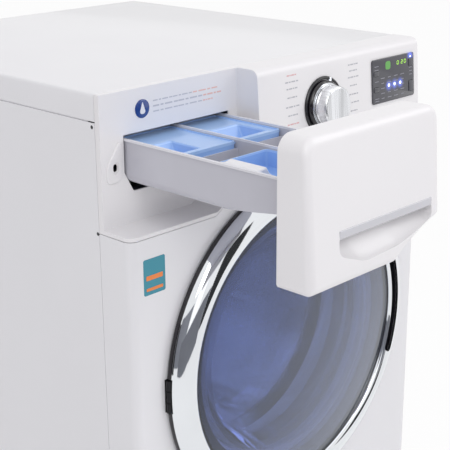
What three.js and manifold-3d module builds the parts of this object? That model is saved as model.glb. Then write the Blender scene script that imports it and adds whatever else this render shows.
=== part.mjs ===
// Front load washing machine: cabinet, leaning control console, dispenser drawer drawn out,
// round door on the left hinge, drum with lifters, tub, direct drive and drain filter.
//
// Units are millimetres. +X is to the right of someone facing the machine, +Y is to the rear
// and +Z is up. While it is drawn, y = 0 is the recessed wall that the drawer passes through
// and z = 0 is the floor; the last lines move the whole machine so that the origin is the
// middle of its footprint, with the drawer out.
import * as THREE from "three";
import { mergeVertices } from "three/addons/utils/BufferGeometryUtils.js";
import Module from "manifold-3d";

const wasm = await Module();
wasm.setup();

// ---------------------------------------------------------------- driving dimensions
// Cabinet
const cabinetWidth = 686;
const cabinetHeight = 983;
const rearY = 700; // recessed wall to the outside of the rear panel
const frontDepth = 56; // front panel and ledge, forward of the recessed wall
const sideSeamY = 10; // where the front mouldings meet the side panels
const groundGap = 28; // floor to the underside of the base pan
const sheet = 1.6; // folded steel
const moulding = 2.6; // plastic wall
const fit = 0.4; // gap between faces that meet
const shadowLine = 1.8; // visible gap under the top cover's skirt
const skirtDrop = 39;
const coverPlate = 3;
const cornerRadius = 14; // upright corners of the front
const coverEdgeRadius = 5;
const flange = 16; // turned edges of the side panels
const baseHeight = 26;
const kickHeight = 122; // lower front panel

// Console and ledge
const ledgeDrop = 195; // top of the machine to the ledge
const ledgeLip = 6;
const consoleTopDepth = 42; // the console's face leans: less deep at the top
const consoleEdgeRadius = 13;
const recessRightX = -70; // where the recess ends and the console begins
const doorReliefGap = 24; // console and drawer front are cut round the door by this

// Dispenser drawer
const drawerTravel = 325;
const drawerFrontGap = 2; // above the ledge
const drawerSideGap = 1.5;
const drawerCornerRadius = 22;
const drawerEdgeRadius = 12;
const drawerShell = 3;
const slotLeftX = -300;
const slotRightX = -88;
const slotTopDrop = 64;
const slotHeight = 84;
const trayGap = 3; // tray to the slot, each side
const trayWall = 2.4;
const trayDepth = 66;
const trayFrontDepth = 42;
const trayInside = 26; // length that stays in the housing when drawn out
const dividerX = -187;
const rearCupLength = 135;
const frontCupLength = 150;
const cupWall = 1.8;
const cupGap = 0.8;

// Door
const doorDrop = 455; // top of the machine to the door's centre
const doorRadius = 284;
const ringBand = 44; // ring's width, door's edge to window
const doorStandOff = 2; // behind the ring, in front of the panel
const ringCrest = 27; // how far the ring stands forward
const windowCrown = 14;
const windowThickness = 3;
const windowLap = 38; // the window overlaps the mouth by this
const bowlDepth = 136;
const bowlFloorRadius = 96;
const glassWall = 5;
const gasketGap = 1.2; // gasket inside the front panel's lip
const gripHalfAngle = 22; // degrees
const gripInset = 4; // finger slot to the window
const gripWidth = 15;
const hingeHalfHeight = 28;
const knuckleRadius = 4;
const pinRadius = 1.7;
const doorSegments = 40; // facets round the door's inner pieces
const ringSegments = 48;

// Drum, tub and drive
const drumRadius = 274;
const drumLap = 12; // the drum's mouth is smaller than the door's by this
const drumFrontY = 66;
const drumDepth = 470;
const drumSheet = 1.6;
const drumSegments = 36;
const lifterHeight = 58;
const lifterFoot = 74;
const lifterCount = 3;
const tubRadius = 304;
const tubWall = 3.5;
const tubFlange = 5;
const tubFrontY = 46;
const tubRearY = 566;
const tubSegments = 28;
const shaftRadius = 15;
const rotorRadius = 142;
const rotorDepth = 46;
const statorTeeth = 12;
const springTurns = 8;
const springInset = 36; // inside the tub's outside wall
const springY = 430;
const springWire = 1.8;
const damperX = 236;
const damperY = 360;
const damperLean = 14; // degrees

// Controls
const knobX = 82;
const knobDrop = 77;
const knobRadius = 36;
const knobSkirtRadius = 40.5;
const knobHeight = 30;
const stemLength = 16; // behind the console's face
const bezelRadius = 47;
const displayLeftX = 209;
const displayRightX = 328;
const displayTopDrop = 23;
const displayBottomDrop = 98;
const displayLap = 2; // the display panel rests on the console by this
const optionKeyCount = 2;

// Feet, filter and rear fittings
const footX = 288;
const footFrontY = -12;
const footRearY = 648;
const footRadius = 24;
const footStudRadius = 5.5;
const filterX = -240;
const filterZ = 98;
const filterDoorWidth = 116;
const filterDoorHeight = 82;
const rearReach = 26; // hose nipples stand this far out of the rear panel
const inletDrop = 111;
const louvreZ = 190; // lowest slot of the rear panel's louvres
const louvreX = 250;
const outletX = -262; // drain outlet and supply gland, one over the other
const outletZ = 118;
const inletX = 236;
const inletPitch = 62;
const accessRadius = 188;

// ---------------------------------------------------------------- derived places
const halfWidth = cabinetWidth / 2;
const topZ = cabinetHeight;
const ledgeZ = topZ - ledgeDrop;
const panelY = -frontDepth;
const doorZ = topZ - doorDrop;
const doorWindowRadius = doorRadius - ringBand;
const mouthRadius = doorWindowRadius - windowLap;
const gripInner = doorWindowRadius + gripInset;
const gripOuter = gripInner + gripWidth;
const drumMouthRadius = mouthRadius - drumLap;
const springX = tubRadius - springInset;
const inletZ = topZ - inletDrop;
const doorRearY = panelY - doorStandOff;
const doorReliefRadius = doorRadius + doorReliefGap;
const drawerBottomZ = ledgeZ + drawerFrontGap;
const drawerHeight = topZ - drawerBottomZ;
const trayTopZ = topZ - slotTopDrop - trayGap - 2;
const slotTopZ = topZ - slotTopDrop;
const slotBottomZ = slotTopZ - slotHeight;
const kickTopZ = groundGap + kickHeight;
const lean = Math.atan2(frontDepth - consoleTopDepth, ledgeDrop);
const rotorFrontY = tubRearY + 22;
const tabZ = topZ - 86; // underside of the tabs that the springs hang from
const lugTopZ = doorZ + 158; // top of the tub's lugs

// ---------------------------------------------------------------- helpers
const materials = {
  paint: { color: 0xf1f1f3, roughness: 0.35, metalness: 0 },
  moulded: { color: 0xf3f3f6, roughness: 0.4, metalness: 0 },
  steel: { color: 0xb9bcc0, roughness: 0.35, metalness: 1 },
  zinc: { color: 0x9fa3a6, roughness: 0.5, metalness: 1 },
  chrome: { color: 0xe6e8ea, roughness: 0.08, metalness: 1 },
  tray: { color: 0xc9cad2, roughness: 0.45, metalness: 0 },
  blue: { color: 0x86aef0, roughness: 0.35, metalness: 0 },
  white: { color: 0xf7f7f8, roughness: 0.4, metalness: 0 },
  dark: { color: 0x1c1d22, roughness: 0.3, metalness: 0 },
  tint: { color: 0x2c3140, roughness: 0.06, metalness: 0, transparent: true, opacity: 0.45 },
  clear: { color: 0xdfe6ee, roughness: 0.04, metalness: 0, transparent: true, opacity: 0.3 },
  rubber: { color: 0x6d6f73, roughness: 0.8, metalness: 0 },
  tub: { color: 0xa9abad, roughness: 0.6, metalness: 0 },
  concrete: { color: 0x8d8b86, roughness: 0.95, metalness: 0 },
  copper: { color: 0xa8623a, roughness: 0.45, metalness: 0.8 },
};

const machine = new THREE.Group();

function signedVolume(vertices, triangles) {
  let total = 0;
  const corner = (k) => new THREE.Vector3().fromArray(vertices, triangles[k] * 3);
  for (let t = 0; t < triangles.length; t += 3) {
    total += corner(t).dot(corner(t + 1).cross(corner(t + 2)));
  }
  return total;
}

// Turns a closed three.js geometry into a solid, with its faces pointing out.
function solidOf(geometry) {
  const bare = geometry.clone();
  bare.deleteAttribute("normal");
  bare.deleteAttribute("uv");
  const merged = mergeVertices(bare, 1e-3);
  const vertices = Float32Array.from(merged.attributes.position.array);
  const triangles = [];
  const index = merged.index.array;
  for (let t = 0; t < index.length; t += 3) {
    const [a, b, c] = [index[t], index[t + 1], index[t + 2]];
    if (a !== b && b !== c && c !== a) {
      triangles.push(a, b, c);
    }
  }
  if (signedVolume(vertices, triangles) < 0) {
    for (let t = 0; t < triangles.length; t += 3) {
      [triangles[t + 1], triangles[t + 2]] = [triangles[t + 2], triangles[t + 1]];
    }
  }
  const triVerts = Uint32Array.from(triangles);
  return new wasm.Manifold(new wasm.Mesh({ numProp: 3, vertProperties: vertices, triVerts }));
}

function geometryOf(solid) {
  const mesh = solid.getMesh();
  const geometry = new THREE.BufferGeometry();
  geometry.setAttribute("position", new THREE.BufferAttribute(mesh.vertProperties, 3));
  geometry.setIndex(new THREE.BufferAttribute(mesh.triVerts, 1));
  geometry.computeVertexNormals();
  return geometry;
}

function place(name, solid, finish, parent = machine) {
  const mesh = new THREE.Mesh(geometryOf(solid), new THREE.MeshStandardMaterial(materials[finish]));
  mesh.name = name;
  parent.add(mesh);
  return mesh;
}

// A block between two corners, given as x, y and z ranges.
function block([x0, x1], [y0, y1], [z0, z1]) {
  const geometry = new THREE.BoxGeometry(x1 - x0, y1 - y0, z1 - z0);
  geometry.translate((x0 + x1) / 2, (y0 + y1) / 2, (z0 + z1) / 2);
  return solidOf(geometry);
}

// A closed profile of [radius, y] points turned about the line x = 0, z = centre height.
function turned(profile, segments = 32, centreX = 0, centreZ = 0) {
  const points = profile.map(([r, y]) => new THREE.Vector2(r, y));
  if (profile[0][0] > 0 || profile[profile.length - 1][0] > 0) {
    points.push(points[0].clone());
  }
  const geometry = new THREE.LatheGeometry(points, segments);
  geometry.translate(centreX, 0, centreZ);
  return solidOf(geometry);
}

function rodY(radius, y0, y1, x, z, segments = 16) {
  return turned([[0, y0], [radius, y0], [radius, y1], [0, y1]], segments, x, z);
}

function tubeY(outer, inner, y0, y1, x, z, segments = 16) {
  return turned([[inner, y0], [outer, y0], [outer, y1], [inner, y1]], segments, x, z);
}

function rodZ(radius, z0, z1, x, y, segments = 12) {
  const geometry = new THREE.CylinderGeometry(radius, radius, z1 - z0, segments);
  geometry.rotateX(Math.PI / 2);
  geometry.translate(x, y, (z0 + z1) / 2);
  return solidOf(geometry);
}

// A straight-sided outline whose corners are rounded: each corner is [x, y, radius].
function rounded(corners, arcSteps = 4) {
  const count = corners.length;
  const path = new THREE.Shape();
  corners.forEach(([x, y, radius = 0], i) => {
    const here = new THREE.Vector2(x, y);
    const before = new THREE.Vector2(...corners[(i + count - 1) % count].slice(0, 2)).sub(here);
    const after = new THREE.Vector2(...corners[(i + 1) % count].slice(0, 2)).sub(here);
    const points = [];
    if (radius === 0) {
      points.push(here);
    } else {
      const half = Math.acos(before.clone().normalize().dot(after.clone().normalize())) / 2;
      const back = radius / Math.tan(half);
      const start = here.clone().addScaledVector(before.normalize(), back);
      const end = here.clone().addScaledVector(after.normalize(), back);
      const bisector = before.clone().add(after).normalize();
      const centre = here.clone().addScaledVector(bisector, radius / Math.sin(half));
      const a0 = Math.atan2(start.y - centre.y, start.x - centre.x);
      let sweep = Math.atan2(end.y - centre.y, end.x - centre.x) - a0;
      sweep = Math.atan2(Math.sin(sweep), Math.cos(sweep));
      for (let k = 0; k <= arcSteps; k += 1) {
        const a = a0 + (sweep * k) / arcSteps;
        points.push(new THREE.Vector2(centre.x + radius * Math.cos(a), centre.y + radius * Math.sin(a)));
      }
    }
    points.forEach((p, k) => (i === 0 && k === 0 ? path.moveTo(p.x, p.y) : path.lineTo(p.x, p.y)));
  });
  path.closePath();
  return path;
}

// Part of a flat ring, drawn in the x-z plane about (x, z), with angles in degrees.
function sector(inner, outer, fromAngle, toAngle, x, z, steps = 12) {
  const at = (radius, degrees) => {
    const a = (degrees * Math.PI) / 180;
    return new THREE.Vector2(x + radius * Math.cos(a), z + radius * Math.sin(a));
  };
  const step = (toAngle - fromAngle) / steps;
  const angles = Array.from({ length: steps + 1 }, (_, k) => fromAngle + step * k);
  const points = [...angles.map((a) => at(outer, a)), ...angles.reverse().map((a) => at(inner, a))];
  return new THREE.Shape(points);
}

// An outline in the x-z plane, made solid from yFront to yBack. The bevel rounds the front edge.
function slab(outline, yFront, yBack, bevel = 0, bevelSegments = 3) {
  const geometry = new THREE.ExtrudeGeometry(outline, {
    depth: yBack - yFront - bevel,
    bevelEnabled: bevel > 0,
    bevelThickness: bevel,
    bevelSize: bevel,
    bevelOffset: -bevel,
    bevelSegments,
    curveSegments: 8,
  });
  geometry.rotateX(Math.PI / 2);
  geometry.translate(0, yBack, 0);
  if (bevel === 0) {
    return solidOf(geometry);
  }
  const span = 4000;
  return solidOf(geometry).subtract(block([-span, span], [yBack, yBack + span], [-span, span]));
}

// An outline in the x-y plane, made solid from z0 to z1.
function plate(outline, z0, z1) {
  const geometry = new THREE.ExtrudeGeometry(outline, { depth: z1 - z0, bevelEnabled: false });
  geometry.translate(0, 0, z0);
  return solidOf(geometry);
}

// An outline in the y-z plane, made solid from x0 to x1.
function beam(outline, x0, x1) {
  const geometry = new THREE.ExtrudeGeometry(outline, { depth: x1 - x0, bevelEnabled: false });
  geometry.applyMatrix4(new THREE.Matrix4().set(0, 0, 1, 0, 1, 0, 0, 0, 0, 1, 0, 0, 0, 0, 0, 1));
  geometry.translate(x0, 0, 0);
  return solidOf(geometry);
}

// A rod that follows a curve.
function wire(curve, radius, steps, sides) {
  const section = new THREE.Shape();
  section.absarc(0, 0, radius, 0, 2 * Math.PI);
  const options = { steps, extrudePath: curve, curveSegments: sides / 2, bevelEnabled: false };
  return solidOf(new THREE.ExtrudeGeometry(section, options));
}

function union(solids) {
  return solids.reduce((whole, next) => whole.add(next));
}

// Where the leaning face of the console and the drawer front lies at a height.
function faceY(z) {
  const share = (topZ - z) / ledgeDrop;
  return -(consoleTopDepth + (frontDepth - consoleTopDepth) * share);
}

// Scales a solid's depth so that its flat front leans as the console's face does.
function leanFront(solid) {
  return solid.warp((v) => {
    if (v[1] < 0) {
      v[1] *= faceY(v[2]) / -frontDepth;
    }
  });
}

// ---------------------------------------------------------------- cabinet
function topCover() {
  const outline = rounded([
    [-halfWidth, -20],
    [halfWidth, -20],
    [halfWidth, rearY, coverEdgeRadius + 1],
    [-halfWidth, rearY, coverEdgeRadius + 1],
  ]);
  const options = {
    depth: skirtDrop,
    bevelThickness: coverEdgeRadius,
    bevelSize: coverEdgeRadius,
    bevelOffset: -coverEdgeRadius,
    bevelSegments: 3,
  };
  const geometry = new THREE.ExtrudeGeometry(outline, options);
  geometry.translate(0, 0, topZ - skirtDrop - coverEdgeRadius);
  const span = cabinetWidth;
  const frontY = sideSeamY + fit;
  return solidOf(geometry)
    .subtract(block([-span, span], [-span, frontY], [0, topZ + span]))
    .subtract(block([-span, span], [-span, rearY + span], [0, topZ - skirtDrop]))
    .subtract(
      block(
        [-halfWidth + sheet, halfWidth - sheet],
        [0, rearY - sheet],
        [topZ - skirtDrop - 1, topZ - coverPlate],
      ),
    );
}

// A side panel: outer face, turned front and rear edges, and an inner strip under the cover.
function sidePanel(side) {
  const outer = side * halfWidth;
  const inner = side * (halfWidth - sheet);
  const turnedIn = side * (halfWidth - flange);
  const front = sideSeamY + fit;
  const rear = rearY - sheet - fit;
  const outline = new THREE.Shape(
    [
      [outer, front],
      [outer, rear],
      [turnedIn, rear],
      [turnedIn, rear - sheet],
      [inner, rear - sheet],
      [inner, front + sheet],
      [turnedIn, front + sheet],
      [turnedIn, front],
    ].map(([x, y]) => new THREE.Vector2(x, y)),
  );
  const bottom = groundGap;
  const shoulder = topZ - skirtDrop - shadowLine;
  const strip = [side * (halfWidth - 2 * sheet - fit), side * (halfWidth - sheet - fit)];
  const web = [side * (halfWidth - 2 * sheet - fit), outer];
  const ordered = (range) => range.slice().sort((a, b) => a - b);
  const tab = [side * (springX - 13), inner + side * 0.5];
  return plate(outline, bottom, shoulder)
    .add(block(ordered(tab), [springY - 13, springY + 13], [tabZ, tabZ + 3]))
    .add(block(ordered(web), [front + flange, rear - flange], [shoulder - sheet, shoulder]))
    .add(
      block(ordered(strip), [front + flange, rear - flange], [shoulder - sheet, topZ - coverPlate - fit]),
    );
}

function rearPanel() {
  const top = topZ - skirtDrop - shadowLine;
  const inside = rearY - sheet;
  let panel = block([-halfWidth, halfWidth], [inside, rearY], [groundGap, top]);
  panel = panel.add(
    block(
      [-halfWidth + flange, halfWidth - flange],
      [inside - sheet - fit, inside + fit],
      [top - flange, top],
    ),
  );
  panel = panel.subtract(rodY(accessRadius - 12, rearY - 20, rearY + 20, 0, doorZ, 32));
  const louvreWidth = 90;
  for (let k = 0; k < 4; k += 1) {
    const z = louvreZ + 16 * k;
    for (const side of [-1, 1]) {
      const x = side * louvreX;
      panel = panel.subtract(
        block([x - louvreWidth / 2, x + louvreWidth / 2], [rearY - 20, rearY + 20], [z, z + 5]),
      );
    }
  }
  for (const k of [0, 1]) {
    panel = panel.subtract(rodY(17, rearY - 30, rearY + 20, inletX - k * inletPitch, inletZ));
  }
  return panel
    .subtract(rodY(19, rearY - 30, rearY + 20, outletX, inletZ))
    .subtract(rodY(17, rearY - 30, rearY + 20, outletX, outletZ));
}

function rearAccessCover() {
  const seat = rearY + fit;
  const rise = 9;
  return turned(
    [
      [0, seat + rise],
      [accessRadius - 34, seat + rise],
      [accessRadius - 20, seat],
      [accessRadius, seat],
      [accessRadius, seat + sheet],
      [accessRadius - 19, seat + sheet],
      [accessRadius - 33, seat + rise + sheet],
      [0, seat + rise + sheet],
    ],
    28,
    0,
    doorZ,
  );
}

function basePan() {
  const x = halfWidth - sheet - fit - flange;
  const y0 = panelY + sheet + fit;
  const y1 = rearY - 2 * sheet - 3 * fit;
  const outer = block([-x, x], [y0, y1], [groundGap, groundGap + baseHeight]);
  const inner = block([-x + 3, x - 3], [y0 + 3, y1 - 3], [groundGap + 3, groundGap + baseHeight + 1]);
  const reach = halfWidth - sheet - fit;
  const floor = plate(
    rounded([
      [-reach, y0, cornerRadius - sheet - fit],
      [reach, y0, cornerRadius - sheet - fit],
      [reach, y1],
      [-reach, y1],
    ]),
    groundGap,
    groundGap + 3,
  );
  let pan = outer.add(floor).subtract(inner);
  for (const side of [-1, 1]) {
    const besideFlange = [side * (halfWidth - flange - fit), side * halfWidth].sort((a, b) => a - b);
    pan = pan.subtract(
      block(besideFlange, [sideSeamY, sideSeamY + sheet + 2 * fit], [0, groundGap + baseHeight]),
    );
  }
  for (const [fx, fy] of footPlaces()) {
    pan = pan.add(rodZ(14, groundGap, groundGap + 16, fx, fy));
  }
  for (const [fx, fy] of footPlaces()) {
    pan = pan.subtract(rodZ(footStudRadius + fit, groundGap - 5, groundGap + 30, fx, fy));
  }
  return pan;
}

// The U-shaped sheet round the front: face, upright corners and short side returns.
function frontWrap(z0, z1) {
  const inset = sheet;
  const outer = rounded([
    [-halfWidth, sideSeamY],
    [-halfWidth, panelY, cornerRadius],
    [halfWidth, panelY, cornerRadius],
    [halfWidth, sideSeamY],
  ]);
  const inner = rounded([
    [-halfWidth + inset, sideSeamY + 10],
    [-halfWidth + inset, panelY + inset, cornerRadius - inset],
    [halfWidth - inset, panelY + inset, cornerRadius - inset],
    [halfWidth - inset, sideSeamY + 10],
  ]);
  return plate(outer, z0, z1).subtract(plate(inner, z0 - 1, z1 + 1));
}

// Front panel with the shallow dish that the door closes into and the lip for the gasket.
function frontPanel() {
  const face = panelY;
  const dish = [
    [doorRadius - 4, face],
    [doorRadius - 9, face],
    [doorRadius - 18, face + 14],
    [mouthRadius + 4, face + 18],
    [mouthRadius, face + 34],
    [mouthRadius + sheet, face + 34],
    [mouthRadius + 5 + sheet / 2, face + 18 + sheet],
    [doorRadius - 17, face + 14 + sheet],
    [doorRadius - 8, face + sheet],
    [doorRadius - 4, face + sheet],
  ];
  const hole = rodY(doorRadius - 6, face - 5, face + 20, 0, doorZ, doorSegments);
  const latchX = mouthRadius + 33; // in line with the door's hook
  const latchSlot = block([latchX - 11, latchX + 11], [face, face + 40], [doorZ - 12, doorZ + 12]);
  const top = ledgeZ - ledgeLip - fit;
  const crown = rodY(doorReliefRadius - fit, face, face + sheet, 0, doorZ, 96).intersect(
    block([-halfWidth, halfWidth], [face - 1, face + 5], [top - 1, topZ]),
  );
  return frontWrap(kickTopZ + fit, top)
    .add(crown)
    .subtract(hole)
    .add(turned(dish, doorSegments, 0, doorZ))
    .subtract(latchSlot);
}

function kickPanel() {
  const halfW = filterDoorWidth / 2 + 1.4;
  const z0 = filterZ - filterDoorHeight / 2 - 1.6;
  const z1 = filterZ + filterDoorHeight / 2 + 1.4;
  return frontWrap(groundGap, kickTopZ).subtract(
    block([filterX - halfW, filterX + halfW], [panelY - 5, panelY + 20], [z0, z1]),
  );
}

// ---------------------------------------------------------------- console, recess and ledge
function consoleProfile(inset) {
  const radius = consoleEdgeRadius - inset;
  return rounded(
    [
      [faceY(ledgeZ - ledgeLip) + inset, ledgeZ - ledgeLip + (inset > 0 ? -5 : 0)],
      [sideSeamY + (inset > 0 ? 10 : 0), ledgeZ - ledgeLip + (inset > 0 ? -5 : 0)],
      [sideSeamY + (inset > 0 ? 10 : 0), topZ - inset],
      [-consoleTopDepth + inset, topZ - inset, radius],
    ],
    4,
  );
}

function ledgeOutline(inset) {
  return rounded([
    [-halfWidth + inset, sideSeamY + (inset > 0 ? 20 : 0)],
    [-halfWidth + inset, panelY + inset, cornerRadius - inset],
    [recessRightX + moulding, panelY + inset],
    [recessRightX + moulding, sideSeamY + (inset > 0 ? 20 : 0)],
  ]);
}

function controlConsole() {
  const wall = moulding;
  const right = beam(consoleProfile(0), recessRightX, halfWidth).subtract(
    beam(consoleProfile(wall), recessRightX + wall, halfWidth - wall),
  );
  const back = block([-halfWidth, recessRightX + wall], [0, sideSeamY], [ledgeZ - ledgeLip, topZ]).subtract(
    block([-halfWidth + wall, recessRightX + 2 * wall], [wall, sideSeamY + 5], [0, topZ - wall]),
  );
  const ledge = plate(ledgeOutline(0), ledgeZ - ledgeLip, ledgeZ).subtract(
    plate(ledgeOutline(wall), 0, ledgeZ - wall),
  );
  const slot = rounded(
    [
      [slotLeftX, slotTopZ],
      [slotLeftX, slotBottomZ + 30, 4],
      [slotLeftX + 16, slotBottomZ, 4],
      [slotRightX, slotBottomZ, 10],
      [slotRightX, slotTopZ],
    ],
    3,
  );
  const locator = rounded(
    [
      [slotLeftX - 21, slotTopZ - 54, 4],
      [slotLeftX - 13, slotTopZ - 48, 4],
      [slotLeftX - 13, slotTopZ - 34, 4],
      [slotLeftX - 21, slotTopZ - 40, 4],
    ],
    2,
  );
  const relief = rodY(doorReliefRadius, panelY - 30, sideSeamY + 5, 0, doorZ, 96);
  const leftSide = block([-halfWidth, recessRightX + wall], [-200, 200], [ledgeZ - ledgeLip, topZ]);
  const arch = rodY(doorReliefRadius + wall, panelY, sideSeamY, 0, doorZ, 96).intersect(
    leftSide.add(beam(consoleProfile(0), recessRightX, halfWidth)),
  );
  let shell = union([right, back, ledge, arch])
    .subtract(relief)
    .subtract(slab(slot, -10, 20))
    .subtract(slab(locator, -10, 20));
  shell = shell.subtract(rodOnFace(knobX, knobDrop, knobSkirtRadius - 22, -6, 12));
  const window = block(
    [displayLeftX + displayLap, displayRightX - displayLap],
    [panelY - 20, panelY + 30],
    [topZ - displayBottomDrop + displayLap, topZ - displayTopDrop - displayLap],
  );
  return shell.subtract(window);
}

// Moves a solid that is drawn round the y axis, front at y = 0, onto the leaning face.
function onFace(solid, x, drop) {
  const z = topZ - drop;
  return solid.rotate([(-lean * 180) / Math.PI, 0, 0]).translate([x, faceY(z), z]);
}

function rodOnFace(x, drop, radius, y0, y1, segments = 24) {
  return onFace(rodY(radius, y0, y1, 0, 0, segments), x, drop);
}

function knobBezel() {
  const profile = [
    [knobSkirtRadius + 1, -fit],
    [bezelRadius, -fit],
    [bezelRadius, -2],
    [bezelRadius - 2, -4],
    [knobSkirtRadius + 1, -3],
  ];
  return onFace(turned(profile, 36), knobX, knobDrop);
}

function knobSkirt() {
  const r = knobSkirtRadius;
  const profile = [
    [0, -1],
    [r, -1],
    [r, -6],
    [r - 3.5, -9],
    [0, -9],
  ];
  const stem = rodY(5, -3, stemLength, 0, 0, 16);
  return onFace(turned(profile, 32).add(stem), knobX, knobDrop);
}

// The knob's cap: a slightly dished face, a rounded rim and shallow finger flutes.
function knobCap() {
  const r = knobRadius;
  const h = knobHeight;
  const profile = [
    [0, -9 - fit],
    [r, -9 - fit],
    [r - 0.6, -h],
    [r - 3, -h - 2.6],
    [r - 8, -h - 2],
    [0, -h - 0.8],
  ];
  let cap = turned(profile, 36);
  const flutes = 18;
  for (let k = 0; k < flutes; k += 1) {
    const a = (2 * Math.PI * k) / flutes;
    const flute = rodY(1.6, -h + 4, -12, (r + 0.7) * Math.cos(a), (r + 0.7) * Math.sin(a), 4);
    cap = cap.subtract(flute);
  }
  return onFace(cap, knobX, knobDrop);
}

// The dark display panel lies on the console's face, with a well for each key.
function keyPlaces() {
  const width = displayRightX - displayLeftX;
  const height = displayBottomDrop - displayTopDrop;
  const keys = [];
  for (let k = 0; k < optionKeyCount; k += 1) {
    const drop = displayTopDrop + (height * (k + 0.9)) / (optionKeyCount + 0.8);
    keys.push({ name: `option_key_${k + 1}`, x: displayLeftX + width * 0.09, drop, w: 14, h: 8 });
  }
  const rightX = displayRightX - width * 0.09;
  keys.push({ name: "power_key", x: rightX, drop: displayTopDrop + 16, w: 12, h: 12 });
  keys.push({ name: "start_key", x: rightX, drop: displayBottomDrop - 18, w: 12, h: 18 });
  return keys;
}

function faceSlab(width, height, radius, x, drop, y0, y1, bevel = 0) {
  const w = width / 2;
  const h = height / 2;
  const outline = rounded([
    [-w, -h, radius],
    [w, -h, radius],
    [w, h, radius],
    [-w, h, radius],
  ], 3);
  return onFace(slab(outline, y0, y1, bevel, 2), x, drop);
}

function displayPanel() {
  const width = displayRightX - displayLeftX;
  const height = displayBottomDrop - displayTopDrop;
  const x = (displayLeftX + displayRightX) / 2;
  const drop = (displayTopDrop + displayBottomDrop) / 2;
  let panel = faceSlab(width, height, 4, x, drop, -2.4, -fit, 0.8);
  for (const key of keyPlaces()) {
    panel = panel.subtract(faceSlab(key.w + 1, key.h + 1, 2, key.x, key.drop, -10, 5));
  }
  return panel;
}

function key(spec) {
  return faceSlab(spec.w, spec.h, 1.6, spec.x, spec.drop, -3.6, 1.2, 0.6);
}

// The board's housing behind the console, with ribs.
function controlBox() {
  const y0 = -26;
  const z = [topZ - 132, topZ - moulding - fit];
  let box = block([-30, 322], [y0, 6], z);
  box = box.subtract(block([-27, 319], [y0 + 3, 10], [z[0] + 3, z[1] - 3]));
  for (let k = 1; k < 5; k += 1) {
    const x = -30 + 70 * k;
    box = box.add(block([x, x + 2], [y0 + 2, 4], [z[0] + 2, z[1] - 2]));
  }
  return box.subtract(rodY(20, y0 - 5, y0 + 28, knobX, topZ - knobDrop, 24));
}

// ---------------------------------------------------------------- dispenser
const drawerBossPlaces = [-270, -187, -108]; // the tray is screwed to these
const trayLeftX = slotLeftX + trayGap;
const trayRightX = slotRightX - trayGap;
const trayRearY = trayInside; // with the drawer out
const trayFrontY = -drawerTravel - 2; // the tray's front end meets the drawer front's bosses
const trayBottomZ = trayTopZ - trayDepth;

// The tray's side view: deep at the rear, rising to a shallower front.
function traySide(inset) {
  const lift = trayDepth - trayFrontDepth;
  return rounded(
    [
      [trayRearY - inset, trayTopZ + (inset > 0 ? 5 : 0)],
      [trayRearY - inset, trayBottomZ + inset, 8],
      [trayFrontY + 150, trayBottomZ + inset, 60],
      [trayFrontY + inset, trayBottomZ + lift + inset, 6],
      [trayFrontY + inset, trayTopZ + (inset > 0 ? 5 : 0)],
    ],
    4,
  );
}

// The tray's section: upright walls with well-rounded lower corners.
function traySection(left, right, inset) {
  const radius = 16;
  return rounded(
    [
      [left + inset, trayTopZ + (inset > 0 ? 5 : 0)],
      [left + inset, trayBottomZ + inset, radius],
      [right - inset, trayBottomZ + inset, radius],
      [right - inset, trayTopZ + (inset > 0 ? 5 : 0)],
    ],
    4,
  );
}

function trayForm(left, right, inset) {
  const span = slab(traySection(left, right, inset), trayFrontY - 20, trayRearY + 20);
  return beam(traySide(inset), left, right).intersect(span);
}

// Moulded tray: rim, divider, two long compartments and a low wall before each rear cup.
function drawerBody() {
  const rim = 3.2;
  let tray = trayForm(trayLeftX, trayRightX, 0)
    .add(block([trayLeftX - 2, trayRightX + 2], [trayFrontY, trayRearY], [trayTopZ - rim, trayTopZ]))
    .subtract(trayForm(trayLeftX, dividerX + trayWall / 2, trayWall))
    .subtract(trayForm(dividerX - trayWall / 2, trayRightX, trayWall));
  const wallY = trayRearY - trayWall - rearCupLength - cupGap * 2 - trayWall;
  const low = block(
    [trayLeftX + 1, trayRightX - 1],
    [wallY, wallY + trayWall],
    [trayBottomZ, trayTopZ - 14],
  );
  tray = tray.add(low.intersect(trayForm(trayLeftX, trayRightX, 0.2)));
  const cornerCut = rounded([
    [trayLeftX - 10, trayBottomZ - 5],
    [trayLeftX + 16, trayBottomZ - 5],
    [trayLeftX - 10, trayBottomZ + 26],
  ]);
  return tray.subtract(slab(cornerCut, trayRearY - 4, trayRearY + 5));
}

// Outline of the drawer front, with its lower right corner cut round the door.
function drawerFrontOutline() {
  const left = -halfWidth;
  const right = recessRightX - drawerSideGap;
  const r = drawerCornerRadius;
  return rounded(
    [
      [left, drawerBottomZ, r],
      [right, drawerBottomZ, drawerEdgeRadius + 2],
      [right, topZ, r],
      [left, topZ, r],
    ],
    5,
  );
}

// The hollow under the grip bar: straight at the top, bowed at the bottom.
function gripOutline() {
  const left = -halfWidth + 56;
  const right = recessRightX - 22;
  const top = topZ - 126;
  return rounded(
    [
      [left, top, 3],
      [left, top - 30, 10],
      [left + 46, top - 46, 40],
      [right - 60, top - 40, 40],
      [right, top - 22, 12],
      [right, top, 3],
    ],
    4,
  );
}

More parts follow.
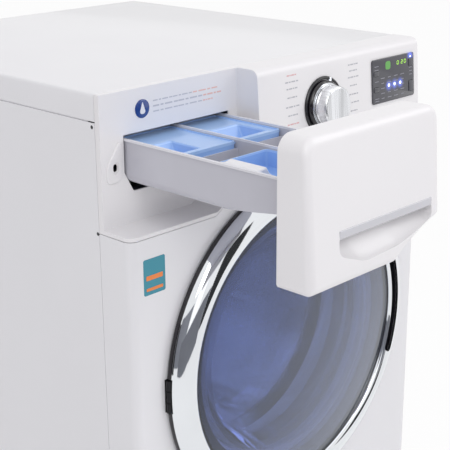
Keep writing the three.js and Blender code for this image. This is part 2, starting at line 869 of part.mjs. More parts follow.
function drawerFront() {
  const clearOfArch = doorReliefRadius + moulding + drawerFrontGap;
  const relief = rodY(clearOfArch, panelY - 30, 20, 0, doorZ, 96);
  const solid = slab(drawerFrontOutline(), panelY, 0, drawerEdgeRadius, 4).subtract(relief);
  let front = leanFront(solid);
  const wall = drawerShell;
  const hollow = rounded(
    [
      [-halfWidth + 8, drawerBottomZ + 26, 16],
      [recessRightX - 12, drawerBottomZ + 40, 12],
      [recessRightX - 12, topZ - 12, 16],
      [-halfWidth + 8, topZ - 12, 16],
    ],
    3,
  );
  const core = leanFront(slab(hollow, panelY + wall + 3, 5));
  const grip = gripOutline();
  const pocket = slab(grip, panelY - 10, -24);
  const pocketShell = slab(grip, -24 - wall, -24 + wall).add(growPocket());
  front = front.subtract(core).add(pocketShell.intersect(solidBehind())).subtract(pocket);
  const lip = beam(gripLip(), -halfWidth + 58, recessRightX - 24);
  front = front.add(lip);
  for (const x of drawerBossPlaces) {
    const boss = block([x - 5, x + 5], [panelY + 8, -2], [trayTopZ - 34, trayTopZ - 10]);
    front = front.add(boss);
  }
  return front.translate([0, -drawerTravel - fit, 0]);
}

// The hollow's side walls, standing inside the drawer front.
function growPocket() {
  const left = -halfWidth + 52;
  const right = recessRightX - 18;
  const top = topZ - 122;
  return slab(
    rounded(
      [
        [left, top, 4],
        [left, top - 38, 12],
        [left + 48, top - 54, 40],
        [right - 60, top - 48, 40],
        [right, top - 28, 12],
        [right, top, 4],
      ],
      4,
    ),
    -45,
    -24 + drawerShell,
  );
}

function solidBehind() {
  return leanFront(slab(drawerFrontOutline(), panelY + 2, 0));
}

// The grip bar's section: a lip that hangs inside the top of the hollow.
function gripLip() {
  const top = topZ - 124;
  const front = faceY(top);
  return rounded(
    [
      [front + 1, top - 9, 2],
      [front + 6, top - 9, 2],
      [front + 9, top],
      [front + 1, top],
    ],
    2,
  );
}

// An open cup that hangs by its rim inside the tray.
function hangingCup(left, right, front, rear, depth, rimDrop) {
  const top = trayTopZ - rimDrop;
  const outer = rounded([
    [left, front, 6],
    [right, front, 6],
    [right, rear, 6],
    [left, rear, 6],
  ], 3);
  const w = cupWall;
  const inner = rounded([
    [left + w, front + w, 5],
    [right - w, front + w, 5],
    [right - w, rear - w, 5],
    [left + w, rear - w, 5],
  ], 3);
  return plate(outer, top - depth, top).subtract(plate(inner, top - depth + w, top + 5));
}

function rearCup(left, right, lidRight) {
  const rear = trayRearY - trayWall - cupGap;
  const front = rear - rearCupLength;
  let cup = hangingCup(left, right, front, rear, 46, 4);
  const funnel = lidRight ? [left + 8, left + (right - left) * 0.46] : [left + 8, right - 14];
  const lid = block([left + 1, right - 1], [front + 1, rear - 1], [trayTopZ - 8, trayTopZ - 6]);
  const mouth = block(funnel, [front + 14, front + 74], [trayTopZ - 20, trayTopZ]);
  cup = cup.add(lid.subtract(mouth));
  const post = rodZ(7, trayTopZ - 49, trayTopZ - 14, (left + right) / 2, rear - 24, 16);
  return cup.add(post).subtract(rodZ(4, trayTopZ - 60, trayTopZ - 18, (left + right) / 2, rear - 24, 12));
}

const cupSide = trayWall + cupGap;
const leftCupRange = [trayLeftX + cupSide, dividerX - trayWall / 2 - cupGap];
const rightCupRange = [dividerX + trayWall / 2 + cupGap, trayRightX - cupSide];

const liquidCupFront = trayFrontY + cupSide + 4;

function liquidCup() {
  const rear = liquidCupFront + frontCupLength;
  return hangingCup(leftCupRange[0], leftCupRange[1], liquidCupFront, rear, 26, 5);
}

// The white gate that stands in the rear of the liquid cup: a saddle with a low middle.
function liquidGate() {
  const rear = liquidCupFront + frontCupLength - cupWall - cupGap - 3;
  const left = leftCupRange[0] + cupWall + cupGap;
  const base = trayTopZ - 5 - 26 + cupWall + fit;
  const outline = rounded(
    [
      [left, base, 2],
      [left + 42, base, 2],
      [left + 42, base + 10, 6],
      [left + 34, base + 16, 8],
      [left + 26, base + 27, 6],
      [left, base + 27, 3],
    ],
    3,
  );
  return slab(outline, rear - 62, rear, 1.5, 2);
}

// The case that the drawer slides in, closed above, with a water outlet at its lower rear.
function dispenserHousing() {
  const gap = 3;
  const wall = moulding;
  const x = [slotLeftX - 2 - wall, slotRightX + 2 + wall];
  const z = [slotBottomZ - 4 - wall, topZ - coverPlate - 22];
  const y = [moulding + fit, moulding + drawerTravel + trayInside + gap + 6];
  const inner = block(
    [x[0] + wall, x[1] - wall],
    [y[0] - 1, y[1] - wall],
    [z[0] + wall, slotTopZ + 3],
  );
  const spoutX = (slotLeftX + slotRightX) / 2;
  const spoutY = y[1] - 44;
  return block(x, y, z)
    .subtract(inner)
    .add(rodZ(20, z[0] - 16, z[0] + 1, spoutX, spoutY, 24))
    .subtract(rodZ(16, z[0] - 30, z[0] + 6, spoutX, spoutY, 24));
}

// ---------------------------------------------------------------- door
function gripSlot(outer, inner, y0, y1, extraAngle = 0) {
  const half = gripHalfAngle + extraAngle;
  return slab(sector(inner, outer, -half, half, 0, doorZ, 14), y0, y1);
}

// Chrome ring: a rolled band, notched at the hinge and slotted for the fingers on the right.
function doorRing() {
  const r = doorRadius;
  const w = doorWindowRadius;
  const rear = doorRearY;
  const crest = rear - ringCrest;
  const profile = [
    [r, rear],
    [r, rear - 5],
    [r - 3, rear - 14],
    [r - 10, rear - 21.5],
    [r - 21, rear - 26],
    [r - 30, crest],
    [w + 7, crest + 2.5],
    [w + 1.5, crest + 6],
    [w + fit, crest + 10],
    [w + 3.4, crest + 10],
    [w + 9, crest + 5.6],
    [r - 31, crest + 3],
    [r - 20, rear - 22.8],
    [r - 12, rear - 19],
    [r - 5.6, rear - 12.6],
    [r - 3, rear - 4.4],
    [r - 3, rear],
  ];
  const notch = block(
    [-r - 5, -r + 9],
    [rear - 9.5, rear + 5],
    [doorZ - hingeHalfHeight, doorZ + hingeHalfHeight],
  );
  return turned(profile, ringSegments, 0, doorZ)
    .subtract(gripSlot(gripOuter, gripInner, crest - 10, rear - 10))
    .subtract(notch);
}

// The finger pocket behind the ring's slot.
function gripPocket() {
  const y1 = doorRearY - 3;
  const outer = gripSlot(gripOuter + 2.5, gripInner - 0.5, doorRearY - 19, y1, 0.8);
  const inner = gripSlot(gripOuter, gripInner + 2, doorRearY - 30, y1 - 2.5);
  return outer.subtract(inner).subtract(ringEnvelope());
}

// The space taken by the ring, with its gap, used to seat what lies behind it.
function ringEnvelope() {
  const r = doorRadius;
  const w = doorWindowRadius;
  const rear = doorRearY;
  const crest = rear - ringCrest;
  return turned(
    [
      [w - 4, crest - 5],
      [r + 5, crest - 5],
      [r - 9, rear - 14],
      [r - 20, rear - 22],
      [r - 31, crest + 3.6],
      [w + 9, crest + 6.2],
      [w + 4, crest + 10.6],
      [w - 4, crest + 10.6],
    ],
    48,
    0,
    doorZ,
  );
}

// Rear frame of the door: carries the window, the bowl, the hinge leaf and the hook.
function doorFrame() {
  const rear = doorRearY;
  const w = doorWindowRadius;
  const profile = [
    [mouthRadius + 12, rear + 10],
    [mouthRadius + 12, rear - 2],
    [w - 9, rear - 2],
    [w - 9, rear - 12],
    [w - 2, rear - 12],
    [w - 2, rear - 2],
    [doorRadius - 7, rear - 2],
    [doorRadius - 7, rear],
    [doorRadius - 20, rear + 10],
  ];
  return turned(profile, doorSegments, 0, doorZ);
}

function windowProfile() {
  const edge = doorWindowRadius - fit;
  const seat = doorRearY - ringCrest + 10;
  const points = [];
  const steps = 4;
  for (let k = 0; k <= steps; k += 1) {
    const share = 1 - k / steps;
    const r = edge * share;
    points.push([r, seat - windowCrown * (1 - share * share)]);
  }
  for (let k = steps; k >= 0; k -= 1) {
    const share = 1 - k / steps;
    const r = edge * share;
    points.push([r, seat - windowCrown * (1 - share * share) + windowThickness]);
  }
  return points;
}

function doorWindow() {
  return turned(windowProfile(), doorSegments, 0, doorZ);
}

// The deep glass bowl that reaches through the gasket.
function glassBowl() {
  const y = doorRearY;
  const rim = mouthRadius + 12 - fit;
  const g = glassWall;
  const profile = [
    [rim, y - 1],
    [rim, y + 5],
    [mouthRadius - 4, y + 5],
    [mouthRadius - 14, y + 30],
    [mouthRadius - 32, y + 86],
    [mouthRadius - 60, y + bowlDepth - 14],
    [bowlFloorRadius, y + bowlDepth - 3],
    [0, y + bowlDepth],
    [0, y + bowlDepth - g],
    [bowlFloorRadius - 3, y + bowlDepth - 3 - g],
    [mouthRadius - 64, y + bowlDepth - 14 - g],
    [mouthRadius - 32 - g, y + 84],
    [mouthRadius - 14 - g, y + 28],
    [mouthRadius - 6 - g, y - 1],
  ];
  return turned(profile, doorSegments, 0, doorZ);
}

const hingeX = -Math.sqrt(doorRadius ** 2 - hingeHalfHeight ** 2) - 0.6;
const hingeY = doorRearY - knuckleRadius - 0.4;

function hingeLeaf() {
  const half = 9;
  const arm = block(
    [hingeX, -doorRadius + 40],
    [doorRearY - 6.2, doorRearY - 2 - fit],
    [doorZ - half, doorZ + half],
  );
  return rodZ(knuckleRadius, doorZ - half, doorZ + half, hingeX, hingeY, 16)
    .add(arm)
    .subtract(rodZ(pinRadius + 0.3, doorZ - 30, doorZ + 30, hingeX, hingeY, 16));
}

// Bolted to the front panel: two knuckles with the pin fixed between them.
function hingeBracket() {
  const plateY = [panelY - 1.5, panelY - fit];
  let bracket = block([hingeX - 3, hingeX + 5], plateY, [doorZ - 27, doorZ + 27]);
  for (const side of [-1, 1]) {
    const range = [doorZ + side * 10, doorZ + side * 26].sort((a, b) => a - b);
    bracket = bracket
      .add(rodZ(knuckleRadius, ...range, hingeX, hingeY, 16))
      .add(block([hingeX - 2.4, hingeX + 2.4], [hingeY + 2.4, panelY - 1], range));
  }
  return bracket.add(rodZ(pinRadius, doorZ - 20, doorZ + 20, hingeX, hingeY, 12));
}

// The hook's side view: a post with a nose that points down into the lock.
function doorHook() {
  const rear = doorRearY + 10 + fit;
  const outline = rounded([
    [rear, doorZ - 7, 1],
    [rear + 24, doorZ - 10, 1],
    [rear + 26, doorZ - 3, 1],
    [rear + 16, doorZ + 6, 2],
    [rear, doorZ + 7, 1],
  ], 2);
  return beam(outline, mouthRadius + 28, mouthRadius + 34);
}

function doorLock() {
  const dishRear = panelY + 19; // the dish's rear face, where the lock is screwed on
  const y0 = dishRear + fit;
  const x = mouthRadius + 33; // in line with the hook
  return block([x - 16, x + 16], [y0, y0 + 32], [doorZ - 34, doorZ + 34]).subtract(
    block([x - 10, x + 8], [y0 - 1, y0 + 22], [doorZ - 15, doorZ + 12]),
  );
}

// ---------------------------------------------------------------- tub, drum and drive
// Grey bellows between the front panel's lip and the tub's mouth.
function gasket() {
  const lip = panelY + 34;
  const m = mouthRadius;
  const profile = [
    [m - gasketGap, lip - 8],
    [m - gasketGap, lip + 4],
    [m + 12, lip + 14],
    [m + 12, lip + 24],
    [m + 2, lip + 36],
    [m + 10, tubFrontY + 2],
    [m + 3, tubFrontY + 2],
    [m - 5, lip + 36],
    [m + 5, lip + 20],
    [m - 6, lip + 6],
    [m - 13, lip - 2],
    [m - 9, lip - 8],
  ];
  return turned(profile, 32, 0, doorZ);
}

function tubFront() {
  const split = (tubFrontY + tubRearY) / 2;
  const t = tubWall;
  const mouth = mouthRadius + 12;
  const profile = [
    [mouth, tubFrontY],
    [tubRadius - 14, tubFrontY + 6],
    [tubRadius, tubFrontY + 20],
    [tubRadius, split - 8],
    [tubRadius + tubFlange, split - 8],
    [tubRadius + tubFlange, split - fit],
    [tubRadius - t, split - fit],
    [tubRadius - t, tubFrontY + 22],
    [tubRadius - 16, tubFrontY + 6 + t],
    [mouth, tubFrontY + t],
  ];
  return turned(profile, tubSegments, 0, doorZ);
}

// Rear half of the tub, with its bearing hub and radial ribs.
function tubRear() {
  const split = (tubFrontY + tubRearY) / 2;
  const t = tubWall;
  const hub = 46;
  const profile = [
    [tubRadius + tubFlange, split],
    [tubRadius + tubFlange, split + 8],
    [tubRadius, split + 8],
    [tubRadius, tubRearY - 14],
    [tubRadius - 14, tubRearY],
    [hub, tubRearY],
    [hub, tubRearY + 14],
    [24, tubRearY + 14],
    [24, tubRearY - t],
    [tubRadius - 16, tubRearY - t],
    [tubRadius - t, tubRearY - 16],
    [tubRadius - t, split],
  ];
  let tub = turned(profile, tubSegments, 0, doorZ);
  const ribs = 10;
  for (let k = 0; k < ribs; k += 1) {
    const rib = block([rotorRadius + 14, tubRadius - 16], [tubRearY - 1, tubRearY + 14], [-1.6, 1.6]);
    tub = tub.add(rib.rotate([0, (360 * k) / ribs, 0]).translate([0, 0, doorZ]));
  }
  const bore = rodY(tubRadius - t / 2, split, tubRearY, 0, doorZ, tubSegments);
  for (const side of [-1, 1]) {
    const x = [side * (springX - 15), side * (springX + 13)].sort((a, b) => a - b);
    const lug = block(x, [springY - 13, springY + 13], [lugTopZ - 26, lugTopZ]);
    tub = tub.add(lug.subtract(bore));
  }
  return tub;
}

function drum() {
  const rear = drumFrontY + drumDepth;
  const s = drumSheet;
  const profile = [
    [drumMouthRadius, drumFrontY + 10],
    [drumMouthRadius - 2, drumFrontY + 3],
    [drumMouthRadius + 4, drumFrontY],
    [drumRadius - 26, drumFrontY + 6],
    [drumRadius, drumFrontY + 26],
    [drumRadius, rear - 12],
    [drumRadius - 12, rear],
    [120, rear],
    [96, rear - 14],
    [0, rear - 14],
    [0, rear - 14 - s],
    [95, rear - 14 - s],
    [119, rear - s],
    [drumRadius - 13, rear - s],
    [drumRadius - s, rear - 13],
    [drumRadius - s, drumFrontY + 27],
    [drumRadius - 27, drumFrontY + 6 + s],
    [drumMouthRadius + 4, drumFrontY + s],
    [drumMouthRadius + s, drumFrontY + 10],
  ];
  return turned(profile, drumSegments, 0, doorZ);
}

// A lifter: a hollow-backed wedge with sloping flanks and ends, bolted inside the drum.
function lifter(k) {
  const seat = (drumRadius - drumSheet) * Math.cos(Math.PI / drumSegments) - fit;
  const half = lifterFoot / 2;
  const sag = seat - Math.sqrt(seat * seat - half * half) + 0.4;
  const y0 = drumFrontY + 46;
  const y1 = drumFrontY + drumDepth - 34;
  const flank = rounded(
    [
      [-half, -seat + sag],
      [half, -seat + sag],
      [15, -seat + lifterHeight, 9],
      [-15, -seat + lifterHeight, 9],
    ],
    3,
  );
  const ends = rounded(
    [
      [y0, -seat - 5],
      [y1, -seat - 5],
      [y1, -seat + sag + 4],
      [y1 - 46, -seat + lifterHeight + 0.1, 12],
      [y0 + 46, -seat + lifterHeight + 0.1, 12],
      [y0, -seat + sag + 4],
    ],
    2,
  );
  const wedge = slab(flank, y0, y1).intersect(beam(ends, -half - 1, half + 1));
  return wedge.rotate([0, (360 * k) / lifterCount, 0]).translate([0, 0, doorZ]);
}

// Three cast arms behind the drum, in one piece with the drive shaft.
function spider() {
  const y0 = drumFrontY + drumDepth + fit;
  const y1 = tubRearY - tubWall - 6;
  let arms = rodY(44, y0, y1, 0, 0, 24);
  for (let k = 0; k < 3; k += 1) {
    const arm = block([0, drumRadius - 40], [y0, y1 - 4], [-11, 11]);
    arms = arms.add(arm.rotate([0, 120 * k + 30, 0]));
  }
  const shaft = rodY(shaftRadius, y0, rotorFrontY + rotorDepth + 4, 0, 0);
  return arms.add(shaft).translate([0, 0, doorZ]);
}

function bearing(y) {
  return tubeY(24 - fit, shaftRadius + fit, y, y + 9, 0, doorZ, 24);
}

function stator() {
  const inner = 34;
  const front = tubRearY + 14 + fit;
  const points = [];
  const outer = rotorRadius - 9;
  const root = outer - 26;
  for (let k = 0; k < statorTeeth; k += 1) {
    const a = (2 * Math.PI * k) / statorTeeth;
    const half = (Math.PI / statorTeeth) * 0.62;
    const corners = [[root, a - half], [outer, a - half], [outer, a + half], [root, a + half]];
    for (const [radius, angle] of corners) {
      points.push(new THREE.Vector2(radius * Math.cos(angle), radius * Math.sin(angle)));
    }
  }
  const outline = new THREE.Shape(points);
  const bore = rodY(inner, front - 10, rotorFrontY + 50, 0, 0, 24);
  return slab(outline, front, rotorFrontY + rotorDepth - 14).subtract(bore).translate([0, 0, doorZ]);
}

function rotor() {
  const y0 = rotorFrontY;
  const y1 = rotorFrontY + rotorDepth;
  const r = rotorRadius;
  const profile = [
    [shaftRadius + fit, y1 - 6],
    [r - 6, y1 - 6],
    [r - 6, y0],
    [r, y0],
    [r, y1 - 3],
    [r - 3, y1],
    [shaftRadius + fit, y1],
  ];
  return turned(profile, 24, 0, doorZ);
}

// The cast weight that hangs on the front of the tub, under its mouth.
function counterweight() {
  const shape = sector(mouthRadius + 24, tubRadius - 6, 190, 350, 0, doorZ, 20);
  return slab(shape, tubFrontY - 34, tubFrontY - fit);
}

// A spring hangs between the side panel's tab and the lug on the tub.
function springPath(x) {
  class Coil extends THREE.Curve {
    getPoint(t, target = new THREE.Vector3()) {
      const a = 2 * Math.PI * springTurns * t;
      const low = lugTopZ + fit + springWire;
      const high = tabZ - fit - springWire;
      return target.set(x + 10 * Math.cos(a), springY + 10 * Math.sin(a), low + (high - low) * t);
    }
  }
  return new Coil();
}

function tubSpring(side) {
  return wire(springPath(side * springX), springWire, springTurns * 7, 4);
}

// A friction strut from the base pan's floor to the tub, its end shaped to the tub's wall.
function damper(side) {
  const barrel = 13;
  const drop = barrel * Math.sin((damperLean * Math.PI) / 180);
  const z0 = groundGap + 3 + fit + drop;
  const strut = rodZ(barrel, 0, 130, 0, 0, 12).add(rodZ(6, 128, 260, 0, 0, 8));
  return strut
    .rotate([0, side * -damperLean, 0])
    .translate([side * damperX, damperY, z0])
    .subtract(rodY(tubRadius + fit, tubFrontY, tubRearY, 0, doorZ, tubSegments));
}

// ---------------------------------------------------------------- water, drain and supply
function inletValves() {
  const x1 = inletX + 22;
  const x0 = inletX - inletPitch - 22;
  let body = block([x0, x1], [rearY - 58, rearY - sheet - fit], [inletZ - 24, inletZ + 24]);
  for (const k of [0, 1]) {
    const x = inletX - k * inletPitch;
    body = body.add(tubeY(13, 9, rearY - 8, rearY + rearReach, x, inletZ));
    body = body.add(tubeY(14.6, 9, rearY + 8, rearY + 12, x, inletZ));
  }
  return body;
}

function drainOutlet() {
  return tubeY(16, 12, rearY - 60, rearY + rearReach, outletX, outletZ)
    .add(tubeY(22, 12, rearY + fit, rearY + 4, outletX, outletZ))
    .add(tubeY(17.5, 12, rearY + 17, rearY + 21, outletX, outletZ));
}

// The supply lead's gland; the lead itself isn't part of the model.
function powerGland() {
  const profile = [
    [6, rearY - 12],
    [18.4, rearY - 12],
    [18.4, rearY + fit],
    [23, rearY + fit],
    [22, rearY + 7],
    [12, rearY + 11],
    [6, rearY + 11],
  ];
  return turned(profile, 16, outletX, inletZ);
}

function drainPump() {
  const foot = block(
    [filterX - 30, filterX + 30],
    [panelY + 70, panelY + 130],
    [groundGap + 3 + fit, filterZ - 30],
  );
  const body = rodY(34, panelY + 40 + fit, panelY + 150, filterX, filterZ, 20)
    .add(foot)
    .add(rodY(46, panelY + 52, panelY + 60, filterX, filterZ, 20))
    .add(block([filterX, filterX + 60], [panelY + 90, panelY + 130], [filterZ - 14, filterZ + 14]));
  return body.subtract(rodY(28, panelY + 30, panelY + 120, filterX, filterZ, 20));
}

function filterCap() {
  const y0 = panelY + 18;
  const profile = [
    [0, y0 + 6],
    [34, y0 + 6],
    [34, y0 + 22],
    [27, y0 + 22],
    [27, y0 + 62],
    [0, y0 + 62],
  ];
  const bar = block([-26, 26], [y0 - 4, y0 + 7], [-4, 4]).translate([filterX, 0, filterZ]);
  return turned(profile, 24, filterX, filterZ).add(bar);
}

function filterDoor() {
  const w = filterDoorWidth / 2;
  const h = filterDoorHeight / 2;
  const outline = rounded([
    [filterX - w, filterZ - h, 3],
    [filterX + w, filterZ - h, 3],
    [filterX + w, filterZ + h, 3],
    [filterX - w, filterZ + h, 3],
  ], 2);
  const pull = rodY(13, panelY - 5, panelY + 1.6, filterX, filterZ + h + 2, 24);
  return slab(outline, panelY, panelY + 3).subtract(pull);
}

function footPlaces() {
  return [
    [-footX, footFrontY],
    [footX, footFrontY],
    [-footX, footRearY],
    [footX, footRearY],
  ];
}

function foot([x, y]) {
  const pad = new THREE.LatheGeometry(
    [
      [0, 0],
      [footRadius - 1, 0],
      [footRadius, 2],
      [footRadius - 3, 8],
      [11, 11],
      [9, 14],
      [footStudRadius, 14],
      [footStudRadius, 62],
      [0, 62],
    ].map(([r, z]) => new THREE.Vector2(r, z)),
    12,
  );
  pad.rotateX(Math.PI / 2);
  pad.translate(x, y, 0);
  return solidOf(pad);
}

// ---------------------------------------------------------------- assembly
place("top_cover", topCover(), "paint");
place("left_side_panel", sidePanel(-1), "paint");
place("right_side_panel", sidePanel(1), "paint");
place("rear_panel", rearPanel(), "zinc");
place("rear_access_cover", rearAccessCover(), "zinc");
place("base_pan", basePan(), "zinc");
place("front_panel", frontPanel(), "paint");
place("kick_panel", kickPanel(), "paint");
place("control_console", controlConsole(), "moulded");
place("control_box", controlBox(), "white");
place("knob_bezel", knobBezel(), "dark");
place("knob_skirt", knobSkirt(), "chrome");
place("knob_cap", knobCap(), "chrome");
place("display_panel", displayPanel(), "dark");
for (const spec of keyPlaces()) {
  place(spec.name, key(spec), "dark");
}
place("dispenser_housing", dispenserHousing(), "white");
place("drawer_body", drawerBody(), "tray");
place("drawer_front", drawerFront(), "moulded");
place("softener_cup", rearCup(...leftCupRange, true), "blue");
place("bleach_cup", rearCup(...rightCupRange, false), "blue");
place("liquid_cup", liquidCup(), "blue");
place("liquid_gate", liquidGate(), "white");
place("door_ring", doorRing(), "chrome");
place("door_grip_pocket", gripPocket(), "dark");
place("door_frame", doorFrame(), "tub");
place("door_window", doorWindow(), "tint");
place("glass_bowl", glassBowl(), "clear");
place("door_hinge_leaf", hingeLeaf(), "steel");
place("door_hinge_bracket", hingeBracket(), "steel");
place("door_hook", doorHook(), "steel");
place("door_lock", doorLock(), "dark");
place("gasket", gasket(), "rubber");
place("tub_front", tubFront(), "tub");
place("tub_rear", tubRear(), "tub");
place("drum", drum(), "steel");
for (let k = 0; k < lifterCount; k += 1) {
  place(`lifter_${k + 1}`, lifter(k), "white");
}
place("drum_spider", spider(), "zinc");
place("front_bearing", bearing(tubRearY - 2), "steel");
place("motor_stator", stator(), "copper");
place("motor_rotor", rotor(), "zinc");
place("counterweight", counterweight(), "concrete");
place("left_tub_spring", tubSpring(-1), "zinc");
place("right_tub_spring", tubSpring(1), "zinc");
place("left_damper", damper(-1), "dark");
place("right_damper", damper(1), "dark");
place("inlet_valves", inletValves(), "white");
place("drain_outlet", drainOutlet(), "tub");
place("power_gland", powerGland(), "dark");
place("drain_pump", drainPump(), "tub");
place("filter_cap", filterCap(), "tub");
place("filter_door", filterDoor(), "paint");
footPlaces().forEach((spot, k) => place(`foot_${k + 1}`, foot(spot), "rubber"));

// The drawer front's foremost line is just above its rounded lower edge.
const frontReach = drawerTravel + fit - faceY(drawerBottomZ + drawerEdgeRadius);
const backReach = rearY + rearReach;
machine.position.set(0, (frontReach - backReach) / 2, 0);

const group = new THREE.Group();
group.add(machine);
export default group;
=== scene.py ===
"""Looks of a front load washing machine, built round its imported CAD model.

Each sub-assembly is a class that builds its pieces in the row frame, in metres, and dresses them
in procedural finishes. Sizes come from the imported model's nodes and from the named values here.
"""

import logging
import math
from dataclasses import dataclass, field
from enum import Enum
from typing import Callable, Sequence, Union

import bmesh
import bpy
from mathutils import Matrix, Vector


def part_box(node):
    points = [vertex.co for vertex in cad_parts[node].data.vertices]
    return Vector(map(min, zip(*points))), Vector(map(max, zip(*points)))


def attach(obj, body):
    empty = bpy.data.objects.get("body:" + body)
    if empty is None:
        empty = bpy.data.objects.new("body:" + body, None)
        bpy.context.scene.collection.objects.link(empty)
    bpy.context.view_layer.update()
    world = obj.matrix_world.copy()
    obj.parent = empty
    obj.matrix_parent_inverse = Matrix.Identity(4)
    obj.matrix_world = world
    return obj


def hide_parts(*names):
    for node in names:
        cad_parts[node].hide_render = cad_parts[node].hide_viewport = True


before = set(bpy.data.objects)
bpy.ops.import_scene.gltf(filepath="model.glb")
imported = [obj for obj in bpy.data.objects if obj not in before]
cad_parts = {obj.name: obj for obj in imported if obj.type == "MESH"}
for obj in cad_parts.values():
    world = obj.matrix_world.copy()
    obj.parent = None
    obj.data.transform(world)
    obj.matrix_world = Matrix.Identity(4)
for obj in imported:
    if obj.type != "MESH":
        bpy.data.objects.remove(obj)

LOG = logging.getLogger("washer")
SMOOTH_BELOW = math.radians(38)  # an edge that folds more than this stays sharp
Point = tuple[float, float]
Colour = tuple[float, float, float]
Scalar = Union["Value", float]
Place = Callable[[float, float, float], Vector]


# ---------------------------------------------------------------- shader graphs
def _operator(operation: str, swapped: bool = False) -> Callable[["Value", Scalar], "Value"]:
    """Makes a Python operator that adds a Math node.

    Args:
        operation: The Math node's operation.
        swapped: Whether the other value comes first.

    Returns:
        The operator.
    """

    def apply(self: "Value", other: Scalar) -> "Value":
        """Adds the node and returns its output."""
        pair = (other, self) if swapped else (self, other)
        return self.graph.math(operation, *pair)

    return apply


class Value:
    """An output socket of a shader graph that takes part in arithmetic."""

    __add__ = __radd__ = _operator("ADD")
    __mul__ = __rmul__ = _operator("MULTIPLY")
    __sub__ = _operator("SUBTRACT")
    __rsub__ = _operator("SUBTRACT", swapped=True)
    __truediv__ = _operator("DIVIDE")
    __lt__ = _operator("LESS_THAN")
    __gt__ = _operator("GREATER_THAN")

    def __init__(self, graph: "Graph", socket: bpy.types.NodeSocket) -> None:
        """Wraps an output socket of a graph."""
        self.graph = graph
        self.socket = socket

    def step(self, low: float, high: float) -> "Value":
        """A smooth step.

        Args:
            low: The value that gives 0.
            high: The value that gives 1.

        Returns:
            The step, between 0 and 1.
        """
        settings = {"interpolation_type": "SMOOTHSTEP"}
        sockets = {"Value": self, "From Min": low, "From Max": high}
        return self.graph.node("ShaderNodeMapRange", settings, sockets)

    def ripple(self) -> "Value":
        """Returns the distance to the nearest whole number, between 0 and 0.5."""
        return self.graph.math("PINGPONG", self, 0.5)


class Graph:
    """A material's node tree."""

    def __init__(self, name: str) -> None:
        """Starts a material with the given name."""
        self.material = bpy.data.materials.new(name)
        self.material.use_nodes = True
        self.tree = self.material.node_tree
        self.tree.nodes.clear()
        self.place = self.node("ShaderNodeTexCoord", out="Object")

    def node(
        self,
        kind: str,
        settings: dict | None = None,
        sockets: dict | None = None,
        out: int | str = 0,
    ) -> Value:
        """Adds any node.

        Args:
            kind: The node's type.
            settings: Its properties by name.
            sockets: What feeds its inputs, by input name or number.
            out: The output to return, by name or number.

        Returns:
            That output.
        """
        node = self.tree.nodes.new(kind)
        for name, setting in (settings or {}).items():
            setattr(node, name, setting)
        for key, value in (sockets or {}).items():
            if isinstance(value, Value):
                self.tree.links.new(value.socket, node.inputs[key])
            elif isinstance(value, tuple) and len(value) == 3 and node.inputs[key].type == "RGBA":
                node.inputs[key].default_value = (*value, 1.0)
            else:
                node.inputs[key].default_value = value
        return Value(self, node.outputs[out])

    def math(self, operation: str, *values: Scalar) -> Value:
        """Adds a Math node for the operation on the values and returns its output."""
        return self.node("ShaderNodeMath", {"operation": operation}, dict(enumerate(values)))

    def mix(self, share: Scalar, first: Value | Colour, second: Value | Colour) -> Value:
        """Returns the first colour where the share is 0 and the second where it is 1."""
        sockets = {0: share, 6: first, 7: second}
        return self.node("ShaderNodeMix", {"data_type": "RGBA"}, sockets, out=2)

    def blend(self, share: Scalar, first: Value, second: Value) -> Value:
        """Returns the first shader where the share is 0 and the second where it is 1."""
        return self.node("ShaderNodeMixShader", None, {0: share, 1: first, 2: second})

    def axes(self) -> tuple[Value, Value, Value]:
        """Returns the x, y and z of the shaded point, in metres."""
        parts = self.tree.nodes.new("ShaderNodeSeparateXYZ")
        self.tree.links.new(self.place.socket, parts.inputs[0])
        return tuple(Value(self, parts.outputs[k]) for k in range(3))

    def around(self, x: float, z: float) -> tuple[Value, Value]:
        """Polar coordinates about a line along y.

        Args:
            x: The line's x.
            z: The line's z.

        Returns:
            The radius in metres and the angle in turns.
        """
        px, _, pz = self.axes()
        dx, dz = px - x, pz - z
        radius = self.math("SQRT", dx * dx + dz * dz)
        return radius, self.math("ARCTAN2", dz, dx) / math.tau

    def noise(self, scale: float, detail: float = 2.0, stretch: Point | None = None) -> Value:
        """Args:
            scale: Features in a metre.
            detail: Octaves.
            stretch: Scale factors along y and z, for streaks.

        Returns:
            The noise, between 0 and 1.
        """
        place = self.place
        if stretch:
            sockets = {0: place, "Scale": (1.0, *stretch)}
            place = self.node("ShaderNodeMapping", None, sockets)
        sockets = {"Vector": place, "Scale": scale, "Detail": detail}
        return self.node("ShaderNodeTexNoise", None, sockets)

    def bump(self, height: Value, depth: float) -> Value:
        """Returns the normal of a surface whose height of 1 stands for the depth in metres."""
        return self.node("ShaderNodeBump", None, {"Height": height, "Distance": depth})

    def principled(self, **inputs) -> Value:
        """Returns a Principled BSDF with the inputs given by name, with _ for each space."""
        named = {key.replace("_", " "): value for key, value in inputs.items()}
        return self.node("ShaderNodeBsdfPrincipled", None, named)

    def close(self, shader: Value) -> bpy.types.Material:
        """Shows the shader on the surface and returns the finished material."""
        output = self.tree.nodes.new("ShaderNodeOutputMaterial")
        self.tree.links.new(shader.socket, output.inputs["Surface"])
        return self.material


